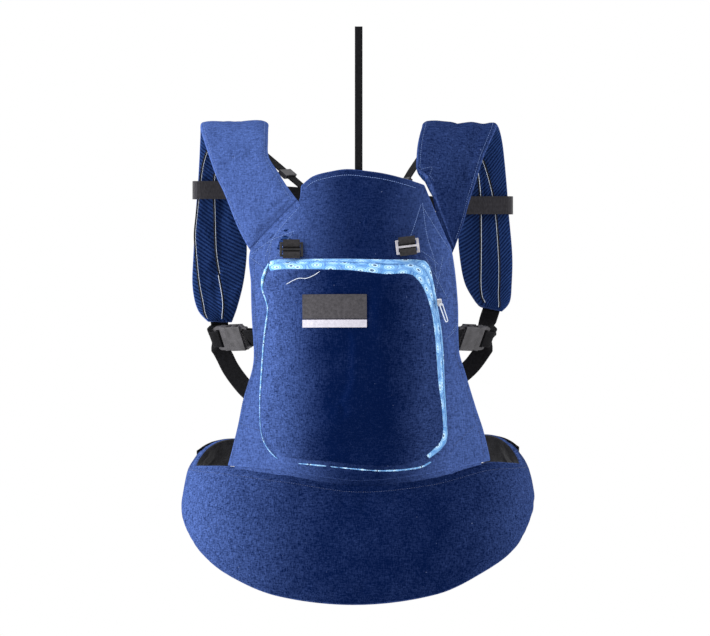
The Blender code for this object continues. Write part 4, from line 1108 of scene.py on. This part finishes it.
for side, (surface, buckle_frame, drop, tail, (inner_x, edge_x, up)) in SIDE_RUNS.items():
    width_way = buckle_frame[1][1]
    path = []
    for t in (11.9, 12.4, 12.9):
        stand = float(strap_pad(np.array([.5]), np.array([t / STATIONS]))[0]) + FABRIC + GAP + 2.2
        path.append((one(surface, .5, t / STATIONS) + one_normal(surface, .5, t / STATIONS) * stand,
                     one(surface, .9, t / STATIONS) - one(surface, .1, t / STATIONS)))
    path += drop
    path += [(p, width_way) for p in loop_over_bar(buckle_frame, SIDE_SCALE, "male", 9, tail_reach=5)]
    path += tail
    show(ribbon(f"strap_webbing_{side}", path, WEBBING - 1, webbing), f"side_release_{side}",
         f"shoulder_webbing_{side}")
    fold = loop_over_bar(buckle_frame, SIDE_SCALE, "female", 3)
    path = [(on_panel(inner_x, 187, -11.6), (0, 0, up)), (on_panel(edge_x, 188, -12.2), (0, 0, up))]
    path += [(p, width_way) for p in fold]
    path += [(on_panel(edge_x, 188, -18.6), (0, 0, up)), (on_panel(inner_x, 187, -15.6), (0, 0, up))]
    show(ribbon(f"anchor_webbing_{side}", path, WEBBING - 1, webbing), "carrier", f"side_anchor_{side}")

for side, sign, half, owner in (("left", -1, "female", "carrier"), ("right", 1, "male", "waist_half_right")):
    path = []
    for degrees in (112, 117, 122, 127, 132.5):
        a = .5 + sign * degrees / WAIST_END / 2
        stand = float(waist_pad(np.array([a]), np.array([.5]))[0]) + FABRIC + GAP + 1.6
        path.append((one(waist, a, .5) + one_normal(waist, a, .5) * stand, one(waist, a, .9) - one(waist, a, .1)))
    fold = loop_over_bar(waist_frame, WAIST_SCALE, half, 22, 1.4)[::-1]
    bend = track([(0, path[-1][0]), (.5, (sign * 118, 124, 30)), (1, fold[0])])
    path += [(bend(np.array(t / 5)), (0, 0, 1)) for t in range(1, 5)]
    path += [(p, (0, 0, 1)) for p in fold]
    show(ribbon(f"belt_{side}", path, BELT_WEBBING, webbing, 1.4), owner, f"belt_webbing_{side}")

ADJUSTERS = {
    "left": ([(-146, -42, 457), (-124, -52, 438), (-102, -66, 419), (-80, -80, 400), (-58, -88, 381)], (.25, .9, .3)),
    "right": ([(99, -36, 458), (90, -48, 444), (78, -60, 426), (67, -76, 408), (56, -86, 390)], (-.3, .9, .2)),
}
for side, (points, across) in ADJUSTERS.items():
    way = through(points)
    show(ribbon(f"headrest_webbing_{side}", [(way(np.array(i / 6)), across) for i in range(7)], 19, webbing),
         "carrier", f"adjuster_webbing_{side}")

HANG_TOP = 610
hang = ribbon("hanging_loop",
              [((1, -106.6, 391), (1, 0, 0)), ((1, -106.6, 500), (1, 0, 0)), ((1, -106.6, HANG_TOP - 4), (1, 0, 0)),
               ((1, -105.6, HANG_TOP - 1.2), (1, 0, 0)), ((1, -104.2, HANG_TOP - .6), (1, 0, 0)),
               ((1, -102.8, HANG_TOP - 1.2), (1, 0, 0)), ((1, -101.8, HANG_TOP - 4), (1, 0, 0)),
               ((1, -101.8, 500), (1, 0, 0)), ((1, -101.8, 391), (1, 0, 0))], 10.5, webbing, 1.2)
show(hang, "carrier", "hang_strap")

# Seam threads -------------------------------------------------------------------------------------
body_tree = bvh_of(body.item)
TOWARDS_BACK = (0, 1, 0)


def flat_line(points, steps=60):
    """A smooth line through (x, z) points, standing in front of the piece it will land on."""
    path = through(points)(np.linspace(0, 1, steps))
    return np.stack([path[:, 0], on_panel(path[:, 0], path[:, 1], 0)[:, 1], path[:, 1]], 1)


def on_body(*lines, lift=.15):
    return [land(body_tree, flat_line(line), TOWARDS_BACK, lift) for line in lines]


top_line = [(x_at, float(top_edge(np.array(float(x_at)))) - 9) for x_at in range(-70, 88, 8)]
threads = stitches("topstitching_panel", on_body(
    top_line,
    [(-88, 371), (-110, 350), (-132, 326), (-143, 312)], [(-80, 368), (-101, 345), (-118, 322), (-127, 300)],
    [(-146, 304), (-120, 322), (-96, 332), (-84, 336)], [(-148, 300), (-132, 288), (-122, 270)],
    [(-118, 322), (-122, 296), (-126, 276)], [(-90, 332), (-104, 312), (-116, 292)],
    [(86, 372), (72, 330), (62, 318)], [(88, 374), (94, 330), (104, 296), (108, 262)],
    [(90, 366), (112, 330), (128, 306)], [(66, 316), (90, 306), (112, 288)],
    [(116, 300), (108, 262), (104, 236)], [(92, 300), (112, 262), (124, 240)],
    [(126, 196), (134, 206)], [(120, 188), (132, 200), (136, 212)]), pale_thread, 3.0, .8, .34)
show(threads, "carrier", slot="denim")

seams = stitches("seam_threads", on_body(
    [(-173, 26), (-164, 68), (-156, 108), (-142, 150), (-137, 176), (-140, 222), (-141, 262), (-142, 300)],
    [(173, 26), (166, 61), (155, 98), (141, 144), (133, 172), (131, 241), (124, 300)],
    [(-160, 72), (-131, 62)], [(130, 42), (159, 70)]), navy_thread, 3.0, .8, .24)
show(seams, "carrier", slot="denim")

for side, pad in straps.items():
    tree, surface = bvh_of(pad.item), pad.surface
    v = np.linspace(.02, .98, STITCH_SAMPLES)
    lines = []
    for across in (.055, .945):
        u = np.full(STITCH_SAMPLES, across)
        normal = normal_of(surface, u, v)
        lines.append(land(tree, surface(u, v) + normal * 3, -normal, .12))
    item = stitches(f"strap_stitching_{side}", lines, blue_thread, 3.2, .74, .24)
    show(item, "carrier", slot="denim")

band_tree = bvh_of(band.item)
v_top = np.full(HEM_SAMPLES, .915)
a = np.linspace(.03, .97, HEM_SAMPLES)
line = land(band_tree, waist(a, v_top) + normal_of(waist, a, v_top) * 12, -normal_of(waist, a, v_top), .1)
item = stitches("waistband_stitching", [line], navy_thread, 3.2, .74, .24)
show(item, "carrier", slot="denim")

# A loose sewing thread on the pocket --------------------------------------------------------------
pocket_tree = bvh_of(pocket_face)
loose = through([(-52, 280), (-60, 275), (-70, 271), (-80, 271), (-88, 268), (-97, 263)])(np.linspace(0, 1, 50))
landed = land(pocket_tree, np.stack([loose[:, 0], on_panel(loose[:, 0], loose[:, 1], 20)[:, 1], loose[:, 1]], 1),
              TOWARDS_BACK, .45)
item = tube("loose_thread", landed[:, :3], .42, white_thread, 6)
show(item, "carrier", slot="denim")

# Finishes on the frame's own pieces ---------------------------------------------------------------


def dress(node, material, bevel=0.0):
    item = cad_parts[node]
    item.data.materials.clear()
    item.data.materials.append(material)
    if bevel:
        modifier = item.modifiers.new("worn edges", "BEVEL")
        modifier.width, modifier.segments, modifier.limit_method = bevel * MM, 2, "ANGLE"
        modifier.angle_limit = math.radians(40)


label_cloth = webbing_cloth("woven_label", (.012, .0115, .013), (.070, .066, .073), .75)
strip_cloth = webbing_cloth("woven_label_strip", (.300, .290, .340), (.520, .500, .560), .7)
metal = Shader("satin_metal", .35, Metallic=1.0)
metal = metal.finish(metal.mix(metal.noise(220, 2), (.25, .25, .27), (.60, .60, .63)), metal.noise(1500, 1), .15)
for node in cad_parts:
    if "buckle" in node or node.startswith("adjuster_lock"):
        dress(node, plastic)
    elif node.startswith("chest_loop"):
        dress(node, elastic, .5)
    elif node.startswith(("chest_webbing", "hood_loop")):
        dress(node, webbing if "chest" in node else ribbed_webbing, .3)
    elif node == "zip_teeth":
        dress(node, print_cloth)
dress("hood_lock_left", dark_plastic)
# The right lock takes the painted reflection, the left the plain black plastic.
dress("hood_lock_right", reflection_plastic)
dress("zip_slider", metal)
dress("zip_pull", white_thread)
dress("label", label_cloth, .3)
dress("label_strip", strip_cloth, .3)
